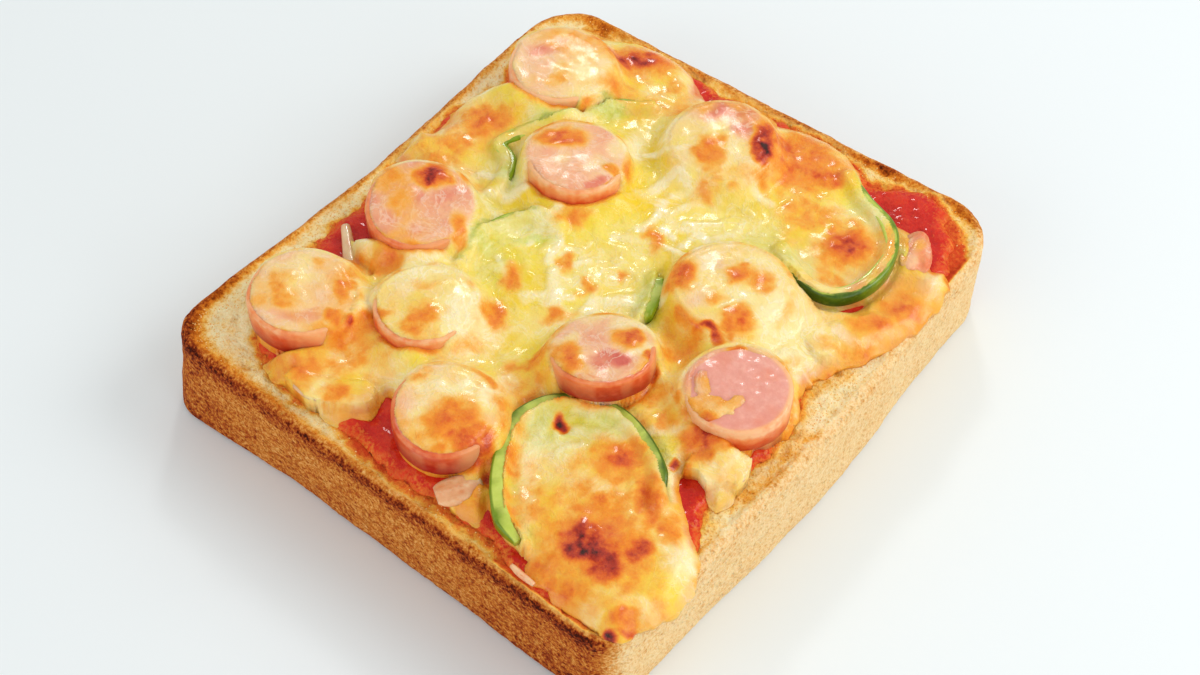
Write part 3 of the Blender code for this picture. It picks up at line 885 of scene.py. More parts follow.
paleSpots = seenSpots({
    coinLevel: (
        (455, 388, 42, 13, 75, 0, 5), (412, 412, 15, 26, 55, 0, 10), (492, 392, 14, 14, 100),
        (460, 320, 24, 34, 85), (430, 272, 40, 9, 70, 0, 5), (775, 312, 20, 38, 85, 0, -15),
        # the small strong spot at 745, 268 is a painted highlight on a coin's film
        (742, 303, 26, 9, 70), (765, 268, 20, 9, 60, 0, -20), (745, 268, 6, 5, 90), (706, 268, 10, 10, 70),
        (597, 84, 26, 24, 70), (725, 414, 17, 14, 85, 0.3, -30), (730, 156, 12, 18, 45),
        (700, 290, 20, 12, 35), (300, 275, 20, 20, 40), (368, 298, 10, 18, 80), (640, 358, 16, 8, 60),
        (640, 330, 30, 9, 80, 0, -10), (566, 345, 9, 6, 70),
    ),
    cheeseLevel: (
        (533, 452, 12, 38, 90, 0.4, -10), (526, 508, 9, 24, 90, 0.4, 5), (602, 486, 26, 8, 70, 0.2),
        (560, 455, 30, 24, 55, 0.1), (680, 552, 20, 24, 80, 0.2), (694, 575, 12, 26, 60, 0.1),
        (478, 332, 26, 24, 85, 0.2, -15), (505, 388, 12, 16, 90, 0.2), (545, 395, 26, 10, 30),
        (632, 152, 12, 26, 80, 0.3, -20), (800, 318, 26, 36, 75, 0.3, -20), (815, 345, 26, 30, 60, 0.2),
        (785, 345, 20, 22, 60, 0.2, -20), (448, 266, 36, 6, 45, 0.2), (602, 268, 44, 26, 40, 0.1),
        (690, 175, 26, 30, 35, 0.1, -20), (720, 215, 40, 30, 30, 0.1, -20), (758, 235, 26, 26, 35, 0.1),
        (575, 325, 60, 14, 50, 0.1), (628, 315, 20, 14, 50), (600, 180, 30, 10, 20),
        (515, 228, 40, 12, 55, 0.1), (640, 245, 30, 20, 30), (845, 290, 9, 12, 70, 0.2, -30),
        (872, 222, 12, 16, 80, 0.2, -30), (805, 262, 22, 12, 70, 0.2, -10), (710, 462, 10, 14, 80, 0.2),
        (655, 500, 6, 16, 70, 0.2), (682, 510, 5, 26, 60, 0.2, -6), (770, 445, 16, 10, 70, 0.2),
        (350, 408, 18, 8, 60, 0.2, 10), (360, 250, 8, 22, 70, 0.1, -15), (392, 370, 12, 20, 50, 0.1),
        (700, 80, 10, 20, 60, 0.1, -35), (840, 165, 12, 16, 60, 0.2, -35),
        (815, 158, 12, 10, 40, 0.2, -30),
    ),
})
greenSpots = seenSpots({
    cheeseLevel: (
        (620, 112, 34, 9, 90, 0, 6), (555, 124, 44, 8, 75, 0, 18), (498, 150, 14, 16, 75),
        (507, 180, 12, 14, 80), (486, 206, 12, 14, 45), (482, 246, 16, 14, 75, 0, 30),
        (500, 235, 20, 18, 45), (535, 241, 20, 6, 85), (520, 225, 36, 12, 45), (500, 265, 26, 18, 40),
        (600, 240, 60, 26, 10), (545, 270, 50, 26, 12), (648, 296, 12, 26, 80, 0, -12),
        (745, 215, 40, 34, 14), (770, 245, 26, 18, 45), (795, 262, 26, 12, 60, 0, -20),
        (870, 212, 20, 26, 60, 0, -35), (892, 252, 9, 22, 60), (835, 270, 30, 9, 35),
        (865, 290, 24, 9, 60, 0, 20), (545, 425, 40, 22, 60, 0, 10), (605, 425, 38, 16, 75, 0, -10),
        (512, 505, 14, 36, 80), (528, 535, 20, 12, 60, 0, -30), (655, 465, 9, 30, 60, 0, -20),
        (570, 440, 34, 14, 35), (640, 150, 30, 30, 10), (660, 120, 30, 14, 30),
    ),
})
thinSpots = seenSpots({
    cheeseLevel: (
        (905, 300, 34, 34, 85, 0, 20), (880, 325, 40, 18, 60, 0, 15), (840, 366, 30, 8, 80, 0, 15),
        (858, 298, 14, 12, 70), (548, 580, 44, 14, 60, 0, -25), (530, 560, 14, 14, 70),
        (368, 400, 16, 12, 40), (355, 345, 34, 10, 30), (690, 462, 9, 9, 30), (735, 105, 30, 7, 70),
        (780, 118, 26, 6, 80, 0, -25), (465, 500, 22, 18, 35), (905, 235, 14, 16, 15),
        (760, 440, 26, 9, 50, 0, 20), (700, 85, 8, 16, 70, 0, -35), (390, 262, 22, 12, 45),
    ),
})
pinkSpots = seenSpots({
    coinLevel: (
        (550, 50, 34, 13, 80, 0, 10), (585, 50, 20, 10, 70), (737, 113, 46, 17, 100, 0, -5),
        (755, 130, 26, 18, 90), (598, 188, 26, 9, 95, 0, 15), (600, 165, 34, 20, 60),
        (455, 200, 20, 20, 75), (420, 240, 34, 12, 55), (395, 180, 22, 10, 75, 0, 20),
        (470, 215, 10, 20, 70), (300, 318, 40, 9, 75), (340, 275, 26, 12, 60), (262, 290, 12, 22, 50),
        (610, 370, 26, 14, 100), (590, 350, 20, 14, 60), (575, 388, 30, 8, 85, 0, -10),
        (700, 300, 20, 16, 60), (710, 265, 20, 14, 55), (405, 410, 12, 30, 85), (740, 385, 50, 44, 100),
        (575, 65, 40, 26, 50), (395, 330, 20, 14, 30), (460, 345, 20, 6, 40),
    ),
    cheeseLevel: (
        (912, 246, 13, 18, 80, 0, 20),
    ),
})
cheeseEdge = seenOutline(26.2, (
    (545, 34), (575, 33), (605, 37), (640, 41), (665, 51), (683, 63), (692, 73), (701, 91), (709, 101),
    (735, 98), (762, 107), (778, 124), (803, 128), (832, 141), (851, 156), (861, 171), (864, 183),
    (873, 200), (881, 214), (893, 222), (906, 228), (921, 238), (927, 252), (925, 264), (934, 270),
    (946, 268), (951, 284), (938, 308), (918, 329), (893, 345), (868, 357), (845, 363), (826, 373),
    (815, 377), (818, 386), (806, 384), (802, 398), (800, 418), (790, 434), (775, 440), (755, 446),
    (750, 455), (750, 470), (744, 485), (735, 497), (716, 505), (706, 493), (696, 479), (683, 477),
    (680, 489), (686, 508), (690, 532), (697, 546), (704, 560), (695, 588), (676, 610), (652, 623),
    (636, 626), (622, 638), (605, 634), (588, 624), (570, 611), (556, 600), (546, 588), (532, 579),
    (526, 566), (520, 553), (513, 545), (503, 538), (494, 524), (486, 513), (477, 521), (462, 512),
    (450, 506), (446, 494), (442, 481), (452, 474), (462, 467), (455, 450), (430, 445), (405, 432),
    (396, 415), (393, 402), (386, 396), (378, 409), (370, 418), (350, 416), (336, 419), (321, 410),
    (301, 397), (285, 386), (270, 371), (265, 360), (280, 351), (302, 344), (331, 338), (300, 330),
    (265, 318), (250, 304), (248, 290), (253, 275), (266, 263), (290, 258), (310, 259), (327, 256),
    (341, 263), (346, 256), (343, 240), (344, 229), (351, 228), (357, 242), (371, 243), (370, 225),
    (366, 214), (367, 201), (372, 190), (386, 184), (400, 170), (410, 163), (401, 158), (396, 154),
    (402, 147), (413, 132), (421, 127), (433, 131), (441, 126), (449, 121), (452, 110), (466, 96),
    (488, 88), (508, 90), (516, 80), (515, 60), (525, 44),
))

cheese = {
    "step": 0.42,
    "floor": 23.6,
    "onSauce": 25.25,                 # where its thin edge starts, over sauce and over bread
    "onBread": 24.25,
    "depth": 2.75,
    "rimWide": 5.0,
    "film": 0.24,
    "lumps": ((0.4, 10, 47), (0.22, 4.5, 48), (0.1, 2.0, 49)),
    "lip": 0.65,                      # how far the film bends down at a coin's edge
    "bankWide": 4.5,
    "under": 27.0,                    # its height where it dives under a pepper
    "underOnion": 26.2,
    "shredCount": 170,
    "shredSeed": 4,
    # where melted shreds still show: x, y, radius, how many share
    "shredZones": ((-6, 8, 26, 0.34), (14, 28, 16, 0.2), (-20, -16, 12, 0.1), (48, 8, 15, 0.16),
                   (34, -30, 12, 0.08), (-10, -50, 12, 0.04), (52, -24, 7, 0.08)),
    # x, y, half width, half height, turn, how deep it sinks
    "hollows": ((20.5, -45.0, 5.0, 8.0, 20, 0.9), (43.0, 31.0, 6.0, 6.0, 0, 0.6),
                (-28.0, 8.0, 5, 5, 0, 0.5), (42.0, 22.0, 7.0, 2.0, -4, 0.8)),
    # pepper skin that shows as a line: pepper, sideways offset, from and to along it, strength
    "skinLines": (("pepper_strip_back", -1.2, 0.0, 0.55, 0.6), ("pepper_arc_left", 1.2, 0.0, 0.8, 0.5),
                  ("pepper_ring_right", 1.2, 0.0, 0.55, 0.4), ("pepper_ring_front", 1.2, 0.8, 1.0, 0.4)),
    # the pale middle, and where the golden outer part starts and ends, from there
    "middle": (4, 8),
    "outer": (22, 46),
}


def cheeseReach(points):
    reach = edgeDistance(points, cheeseEdge) + 0.7 * cloud(points, 3.2, 41) + 0.2 * cloud(points, 1.3, 42)
    for i in range(coinCount):
        if sausage["cover"][i]:
            away, angle, size = coinPlace(i, points)
            reach = np.maximum(reach, size - 0.3 - away)
    return reach


def shreds(points):
    # soft ridges left by the grated cheese: height and paleness
    random = np.random.default_rng(cheese["shredSeed"])
    zones = cheese["shredZones"]
    share = np.array([zone[3] for zone in zones])
    warped = warpedBy(points, 1.5, 7, 51)
    height, pale = np.zeros(len(points)), np.zeros(len(points))
    for k in range(cheese["shredCount"]):
        zone = zones[random.choice(len(zones), p=share / share.sum())]
        r, a = zone[2] * math.sqrt(random.random()), random.uniform(0, 2 * math.pi)
        at = np.array([zone[0] + r * math.cos(a), zone[1] + r * math.sin(a)])
        way = random.normal(0.9, 0.75)
        half, wide = random.uniform(1.5, 5.0), random.uniform(1.0, 2.2)
        rise, light = random.uniform(0.15, 0.5), random.choice((0.05, 0.3, 0.7, 1.0))
        d = warped - at
        near = np.nonzero((np.abs(d[:, 0]) < half + 2) & (np.abs(d[:, 1]) < half + 2))[0]
        d = d[near]
        along = np.clip(turned(d, way)[0], -half, half)
        off = np.hypot(d[:, 0] - along * math.cos(way), d[:, 1] - along * math.sin(way)) / wide
        w = np.clip(1 - off * off, 0, 1)
        height[near] = np.maximum(height[near], rise * np.sqrt(w))
        pale[near] = np.maximum(pale[near], light * w)
    return height, pale


def overPeppers(points, height):
    # the cheese lies over each from its inner side out to a line near the skin
    wall = pepper["wall"]
    for name, line in pepperLines.items():
        beside, along = lineDistance(points, line)
        near = np.abs(beside)
        outwards = beside * skinSign(name, along)
        edge = pepperValue("covered", name, along) + 0.3 * cloud(points, 2.4, 50)
        crest = pepper["seat"] + 2 * pepper["high"] + 0.22 + 0.15 * cloud(points, 2.0, 54)
        over = height + np.maximum(crest - height, 0) * np.exp(-(near / 2.0) ** 4)
        dive = blend(height, cheese["under"], ease(wall + 0.1, wall - 0.4, near))
        trench = np.exp(-((outwards - wall - 0.5) / 1.0) ** 2)
        dive = dive - pepperValue("trench", name, along) * trench
        covers = ease(edge + 0.2, edge - 0.2, outwards)
        height = np.where(near < 5, blend(dive, over, covers), height)
    return height


def skinMark(points, warped):
    leaf = np.zeros(len(points))
    for name, offset, first, last, strength in cheese["skinLines"]:
        line = pepperLines[name]
        near, along = lineDistance(warped, line + normalsOf(line)[0] * offset)
        shown = strength * ease(0.75, 0.25, np.abs(near) + 0.25 * cloud(points, 4, 53))
        shown = shown * ease(first - 0.04, first + 0.04, along) * ease(last + 0.04, last - 0.04, along)
        leaf = np.maximum(leaf, shown)
    return leaf


def overOnion(points, height):
    for i, ((spots, halfWide, halfHigh, low), line) in enumerate(zip(onion["slivers"], onionLines)):
        near = np.abs(lineDistance(points, line)[0])
        lies = onionSeat(low) + 2 * halfHigh
        sunk = blend(height, cheese["underOnion"], ease(halfWide + 0.1, halfWide - 0.5, near))
        dive = np.minimum(height, sunk)
        over = np.maximum(height - 0.4, lies + 0.2 - 0.35 * (near / halfWide) ** 2)
        veil = onion["veil"][i] + 0.5 * cloud(points, 4, 175 + i)
        height = np.where(near < halfWide + 0.5, blend(dive, over, ease(0.45, 0.6, veil)), height)
    return height


def overCoins(points, warped, height, rim, thick, white, pink):
    # a film over each coin and the cheese that lies against its side; also how much meat shines
    # through, how browned its edge is, and where the cheese slopes down from it
    meat, rust, slopes = np.zeros(len(points)), np.zeros(len(points)), np.zeros(len(points))
    owner = np.full(len(points), -1)
    for i in range(coinCount):
        away, angle, size = coinPlace(i, points)
        owner = np.where(away < size, i, owner)
    for i, (bareWay, bareHalf) in enumerate(sausage["bareSides"]):
        away, angle, size = coinPlace(i, points)
        gap = away - size
        inside = away < size
        near = (away < size + 8) & (owner < 0)
        fromBare = np.abs(angleOff(np.degrees(angle), bareWay)) + 12 * cloud(points, 4, 60 + i)
        bare = ease(bareHalf + 26, bareHalf - 20, fromBare) * (bareHalf > 0)
        # held: the film ends at the shoulder of a bare side. draped: it hangs down over the side.
        flat, face = coinTop(i, points, False), coinTop(i, points)
        skin = cheese["film"] * (1 + 0.6 * cloud(points, 3, 70 + i)) + 0.1
        ragged = away + 0.35 * cloud(points, 2.2, 65 + i)
        held = face + (skin + thick) * ease(size - 0.3, size - 1.5, ragged)
        held = held - 0.4 * ease(size - 0.9, size - 0.35, ragged)
        draped = flat + skin + thick * ease(size, size - 2.5, away)
        draped = draped - cheese["lip"] * ease(size - 2.2, size, away)
        draped = np.maximum(draped, face + 0.8 * skin)
        on = blend(draped, held, ease(0.25, 0.75, bare))
        cover = np.ones(len(points)) * sausage["cover"][i]
        if not sausage["cover"][i]:
            patch = np.maximum.reduce([spotWeight(warped, spot) for spot in sausage["patches"]])
            cover = np.maximum(cover, ease(0.3, 0.55, patch))
            edge = size - away + 0.6 * cloud(points, 4, 77)
            cover = np.maximum(cover, ease(2.2, 0.9, edge) * (1 - bare))
            on = np.where(cover > 0.5, blend(draped, held, bare * (1 - ease(0.2, 0.5, patch))), on)
        on = blend(face - 0.9, on, cover)
        # beside the coin: a slope where it is draped, a low bank where it is bare
        lip = flat + skin - cheese["lip"]
        slope = np.maximum(lip - height, 0) * fallOff(gap, 2.6 + 0.8 * cloud(points, 6, 80 + i))
        bank = sausage["bank"][i] * rim * (1 + 0.35 * cloud(points, 5, 85 + i))
        beside = height + np.maximum(bare * bank * fallOff(gap, cheese["bankWide"]), (1 - bare) * slope)
        beside = beside - 0.5 * bare * fallOff(gap, 0.9)
        beside = np.minimum(beside, np.maximum(height, lip + 0.3))
        wraps = ease(size + 1.6, size + 0.5, away) * (1 - ease(0.15, 0.8, bare))
        beside = blend(beside, np.maximum(beside, lip), wraps)
        dips = ease(0.2, 0.75, bare) * ease(size - 0.7, size - 0.3, away)
        on = blend(on, np.minimum(on, beside - 0.3), dips)
        height = np.where(inside, on, np.where(near, beside, height))
        show = ease(size + 1.0, size - 0.6, away)
        blush = np.maximum(sausage["blush"][i], pink) + 0.12 * cloud(points, 3.4, 90 + i)
        meat = np.maximum(meat, show * np.clip(blush - 0.45 * white, 0, 1))
        edge = ease(size - 1.3, size - 0.4, away) * show * (0.25 + 0.75 * bare) * 0.5
        rust = np.maximum(rust, edge * (0.8 + 0.7 * cloud(points, 5, 95 + i)))
        rust = np.maximum(rust, 0.45 * bare * (1 - inside) * fallOff(gap, 1.6))
        slopes = np.maximum(slopes, (1 - bare) * np.exp(-((away - size - 0.8) / 1.6) ** 2))
    return height, meat, rust, slopes


def cheeseShape(points):
    warped = warpedBy(points, 1.2, 3.2, 43)
    warped += 0.55 * np.column_stack((cloud(points, 1.3, 45), cloud(points, 1.3, 46)))
    brown, blister = spotField(warped, browningSpots)
    white, whiteRise = spotField(warped, paleSpots)
    green, thin, pink = (spotField(warped, spots)[0] for spots in (greenSpots, thinSpots, pinkSpots))
    ridges, pale = shreds(points)
    reach = np.maximum(edgeDistance(points, cheeseEdge), 0)
    rim = 1 - (1 - np.clip(reach / cheese["rimWide"], 0, 1)) ** 1.7
    sink = np.zeros(len(points))
    for *spot, deep in cheese["hollows"]:
        sink = np.maximum(sink, deep * spotWeight(points, spot))
    ridges = ridges * (1 - np.clip(brown * 1.6, 0, 0.9))
    depth = cheese["depth"] + relief(points, *cheese["lumps"]) + ridges - sink
    depth = depth * (1 - 0.78 * np.clip(thin, 0, 1)) + 0.3
    seat = blend(cheese["onBread"], cheese["onSauce"], ease(-0.4, 2.0, sauceReach(points)))
    height = seat + rim * (depth + cheese["onSauce"] - seat)
    height = height + np.clip(blister, -1, 3) * 0.8 * rim + whiteRise * 0.6 * rim
    bareOfToppings = height + 0.5
    height = overOnion(points, overPeppers(points, height))
    thick = np.clip(blister, 0, 3) * 0.7 + whiteRise * 0.6
    height, meat, rust, slopes = overCoins(points, warped, height, rim, thick, white, pink)
    # golden and pale places on the draped slopes and towards the slice's rim
    outer = ease(*cheese["outer"], np.hypot(*(points - cheese["middle"]).T))
    tan = 0.16 + 0.22 * cloud(points, 9, 102) + 0.12 * cloud(points, 3, 106)
    brown = np.maximum(brown, np.clip(rust, 0, 1))
    brown = np.maximum(brown, slopes * np.clip(0.16 + 0.5 * cloud(points, 4.5, 104), 0, 0.5))
    brown = np.maximum(brown, outer * np.clip(tan, 0, 0.4))
    white = np.maximum(white, slopes * np.clip(0.35 + cloud(points, 3.5, 105), 0, 0.75))
    white = np.maximum(white, outer * np.clip(0.22 + 0.7 * cloud(points, 5, 103), 0, 0.6))
    # the ragged edge is thin and golden
    onGround = height < bareOfToppings
    ragged = reach + 0.5 * cloud(points, 1.8, 101)
    gold = ease(2.4, 0.2, ragged) * (0.3 + 0.2 * cloud(points, 6, 99))
    brown = np.maximum(brown, np.where(onGround, gold, 0))
    brown = brown * (1 + 0.18 * cloud(points, 1.6, 97)) + 0.05 * cloud(points, 3.5, 98)
    overSauce = ease(-0.5, 1.0, sauceReach(points))
    thin = thin + ease(2.2, 0.1, ragged) * (0.3 + 0.6 * overSauce) * onGround
    marks = {
        "white": np.maximum(white, pale * 0.9 * (1 - meat)), "green": green * (1 - brown),
        "thin": thin, "meat": meat, "leaf": skinMark(points, warped),
    }
    marks = {name: np.clip(values, 0, 1) for name, values in marks.items()}
    return height, {"brown": np.clip(brown, 0, 1.05), **marks}


# Finishes

def breadFinish():
    f = Finish("toastedBread", Roughness=0.78, Subsurface_Weight=0.08, Subsurface_Scale=0.002,
               Specular_IOR_Level=0.06)
    toast, cut, stain, pore = f.marks("toast", "cut", "stain", "pore")
    fine, speck, tone = f.grain(0.9, 4.0, 0.7), f.grain(0.45, 2.0), f.grain(6.0, 3.0)
    coarse, pits, holes = f.grain(1.5, 3.0, 0.7), f.cells(1.3).eased(0.42, 0.1), speck.eased(0.6, 0.72)
    level = toast + mottle(tone, 0.24) + mottle(fine.eased(0.34, 0.66), 0.13 + toast * 0.26)
    level = level + mottle(speck.eased(0.3, 0.7), 0.1) + mottle(coarse.eased(0.35, 0.65), toast) * 0.2
    level = level + pits * (0.05 + toast * 0.2) * (1 - cut)
    crust = f.ramp(level.clamped(), (0.0, 250, 220, 168), (0.16, 243, 202, 140), (0.32, 228, 160, 84),
                   (0.5, 204, 124, 46), (0.66, 176, 82, 30), (0.82, 132, 46, 16), (1.0, 70, 22, 10))
    level = toast + mottle(fine.eased(0.3, 0.7), 0.14 + toast * 0.3) + holes * 0.1
    level = level + mottle(tone, 0.12) + pore * 0.04
    crumb = f.ramp(level.clamped(), (0.0, 255, 238, 190), (0.14, 255, 222, 152), (0.3, 245, 182, 78),
                   (0.48, 226, 134, 38), (0.68, 178, 84, 22), (1.0, 70, 26, 8))
    soaked = f.ramp((stain + mottle(fine.eased(0.3, 0.7), 0.3)).clamped(), (0.15, 254, 214, 120),
                    (0.4, 250, 184, 74), (0.68, 238, 128, 50), (0.95, 214, 74, 34))
    wet = (stain * 3.0 + mottle(speck, 0.6) * stain).clamped()
    f.bumped(fine * 0.7 + speck * 0.5 - holes * 0.4 * cut - pits * 0.6 * (1 - cut), 0.5)
    return f.set(Base_Color=f.mix(wet, f.mix(cut, crust, crumb), soaked), Roughness=0.82 - stain * 0.35)


def sauceFinish():
    f = Finish("tomatoSauce", Subsurface_Weight=0.1, Subsurface_Scale=0.001, Specular_IOR_Level=0.12,
               Coat_Roughness=0.1)
    rim, pulp = f.marks("rim", "pulp")
    fine, tone = f.grain(0.8, 3.0, 0.7), f.grain(5.0, 2.0)
    level = tone * 0.5 + fine * 0.35 + pulp * 0.5 + rim * 0.15
    red = f.ramp(level.clamped(), (0.1, 180, 20, 14), (0.45, 210, 36, 20), (0.75, 230, 68, 30),
                 (1.0, 238, 118, 50))
    toasted = f.mix(tone.eased(0.35, 0.65), (238, 138, 52), (222, 104, 40))
    share = (rim * 0.9 + mottle(fine.eased(0.25, 0.75), 1.2) - 0.34).clamped()
    f.bumped(fine, 0.45)
    return f.set(Base_Color=f.mix(share, red, toasted), Roughness=0.3 + fine * 0.25,
                 Coat_Weight=(0.4 - rim * 0.35).clamped())


def cheeseFinish():
    f = Finish("meltedCheese", Subsurface_Weight=0.22, Subsurface_Scale=0.0022,
               Subsurface_Radius=(1.0, 0.6, 0.25), Specular_IOR_Level=0.2, Coat_Roughness=0.12)
    brown, white, green, thin, meat, leaf = f.marks("brown", "white", "green", "thin", "meat", "leaf")
    fine, mid = f.grain(0.7, 3.0, 0.65), f.grain(2.2, 3.0, 0.6)
    tone, oily = f.grain(9.0, 2.0), f.grain(3.5, 2.0)
    fold = (f.grain(6.0, 4.0, 0.6, 1.2) * 2 - 1).maths("ABSOLUTE").eased(0.1, 0.0)
    leafy = f.mix(mid.eased(0.35, 0.65), (186, 200, 80), (218, 222, 140))
    flush = f.ramp((meat + mottle(mid, meat) * 0.35).clamped(), (0.0, 247, 214, 150), (0.4, 243, 204, 156),
                   (0.65, 238, 176, 134), (0.85, 226, 132, 104), (1.0, 212, 100, 84))
    body = f.mix(tone.eased(0.35, 0.65), (240, 204, 32), (243, 217, 76))
    # what shows in the body, one over the other
    for share, colour in (
        # white: pale cheese, and at one small spot on a coin a painted highlight
        (white * 0.95 + mottle(mid, 0.4) + fold * (white * 0.4 + 0.16), (250, 235, 188)),
        (green * 0.9 + mottle(mid, green) * 0.5, leafy),
        (leaf, (140, 162, 40)),
        (meat * 1.7 + mottle(mid, 0.3) * meat, flush),
        (fold * meat * 0.5, (250, 226, 200)),
        (thin * 0.9 + mottle(mid, thin) * 0.8, (228, 112, 56)),
    ):
        body = f.mix(share.clamped(), body, colour)
    level = brown + mottle(fine, brown) * 0.3 + mottle(mid.eased(0.25, 0.75), brown) * 0.3
    crust = f.ramp(level.clamped(), (0.0, 245, 206, 98), (0.28, 243, 176, 56), (0.47, 236, 140, 38),
                   (0.63, 219, 96, 28), (0.78, 180, 52, 24), (0.9, 136, 28, 16), (1.0, 60, 18, 10))
    f.bumped(fine * 0.55 + mid * 0.8 + fold * 0.1, 0.42)
    return f.set(Base_Color=f.mix(level.eased(0.07, 0.42), body, crust),
                 Roughness=0.3 + fine * 0.16 + brown * 0.1,
                 Coat_Weight=0.1 + oily.eased(0.35, 0.65) * (0.5 - meat * 0.35))


def meatFinish():
    f = Finish("sausageMeat", Subsurface_Weight=0.2, Subsurface_Scale=0.002,
               Subsurface_Radius=(1.0, 0.4, 0.25), Specular_IOR_Level=0.2, Coat_Roughness=0.1)
    skin, low, film = f.marks("skin", "low", "film")
    fine, mid, tone = f.grain(0.6, 3.0, 0.7), f.grain(1.8, 2.0), f.grain(7.0, 2.0)
    face = f.ramp((fine * 0.4 + mid * 0.6).clamped(), (0.25, 224, 146, 130), (0.5, 231, 158, 140),
                  (0.75, 240, 180, 160))
    face = f.mix(tone.eased(0.45, 0.7) * 0.5, face, (228, 136, 106))
    # the side's band: the skin's own red, darker toward the foot as painted shade
    band = f.ramp((low + mottle(mid, 0.5) + mottle(tone, 0.5)).clamped(), (0.0, 243, 186, 134),
                  (0.2, 236, 140, 80), (0.5, 214, 82, 38), (1.0, 166, 30, 20))
    colour = f.mix((skin + mottle(mid, 0.3) * skin).clamped(), face, band)
    colour = f.mix((film + mottle(mid, film) * 0.6).clamped(), colour, (244, 186, 128))
    f.bumped(fine * 0.5 + mid * 0.5, 0.12, 0.6)
    return f.set(Base_Color=colour, Roughness=0.26 + fine * 0.2, Coat_Weight=0.35)


def pepperFinish():
    f = Finish("greenPepper", Subsurface_Weight=0.15, Subsurface_Scale=0.0015,
               Subsurface_Radius=(0.6, 1.0, 0.2), Specular_IOR_Level=0.2, Coat_Roughness=0.08)
    skin, deep = f.marks("skin", "deep")
    fine, mid = f.grain(0.7, 2.0), f.grain(2.5, 2.0)
    flesh = f.mix(mid, (166, 188, 54), (214, 222, 112))
    rind = f.mix((deep + mottle(mid, 0.8)).clamped(), (138, 166, 26), (52, 84, 2))
    colour = f.mix((skin + mottle(fine, 0.3)).clamped(), flesh, rind)
    f.bumped(fine, 0.1, 0.5)
    return f.set(Base_Color=colour, Roughness=0.24 + fine * 0.15, Coat_Weight=0.4)


def onionFinish():
    f = Finish("bakedOnion", Subsurface_Weight=0.3, Subsurface_Scale=0.002, Coat_Roughness=0.1)
    rib, tan = f.marks("rib", "tan")
    mid, fine = f.grain(3.0, 2.0), f.grain(0.8, 2.0)
    colour = f.mix((tan * 0.7 + mottle(mid, 1.3)).clamped(), (244, 216, 170), (216, 128, 60))
    colour = f.mix((rib * 0.25 * fine.eased(0.3, 0.6)).clamped(), colour, (248, 224, 184))
    f.bumped(fine * 0.7 + rib * 0.3, 0.25, 0.8)
    return f.set(Base_Color=colour, Roughness=0.25 + fine * 0.15, Coat_Weight=0.6)


def crumbFinish():
    f = Finish("crumbGrain", Roughness=0.85, Subsurface_Weight=0.15, Subsurface_Scale=0.001)
    colour = f.ramp(f.grain(3.5, 2.0), (0.3, 250, 216, 150), (0.55, 244, 190, 104), (0.75, 228, 146, 58))
    f.bumped(f.grain(0.4, 2.0), 0.1, 0.6)
    return f.set(Base_Color=colour)


def floorFinish():
    return Finish("paleFloor", Roughness=0.6).set(Base_Color=paint(232, 239, 241))


# Building the toppings

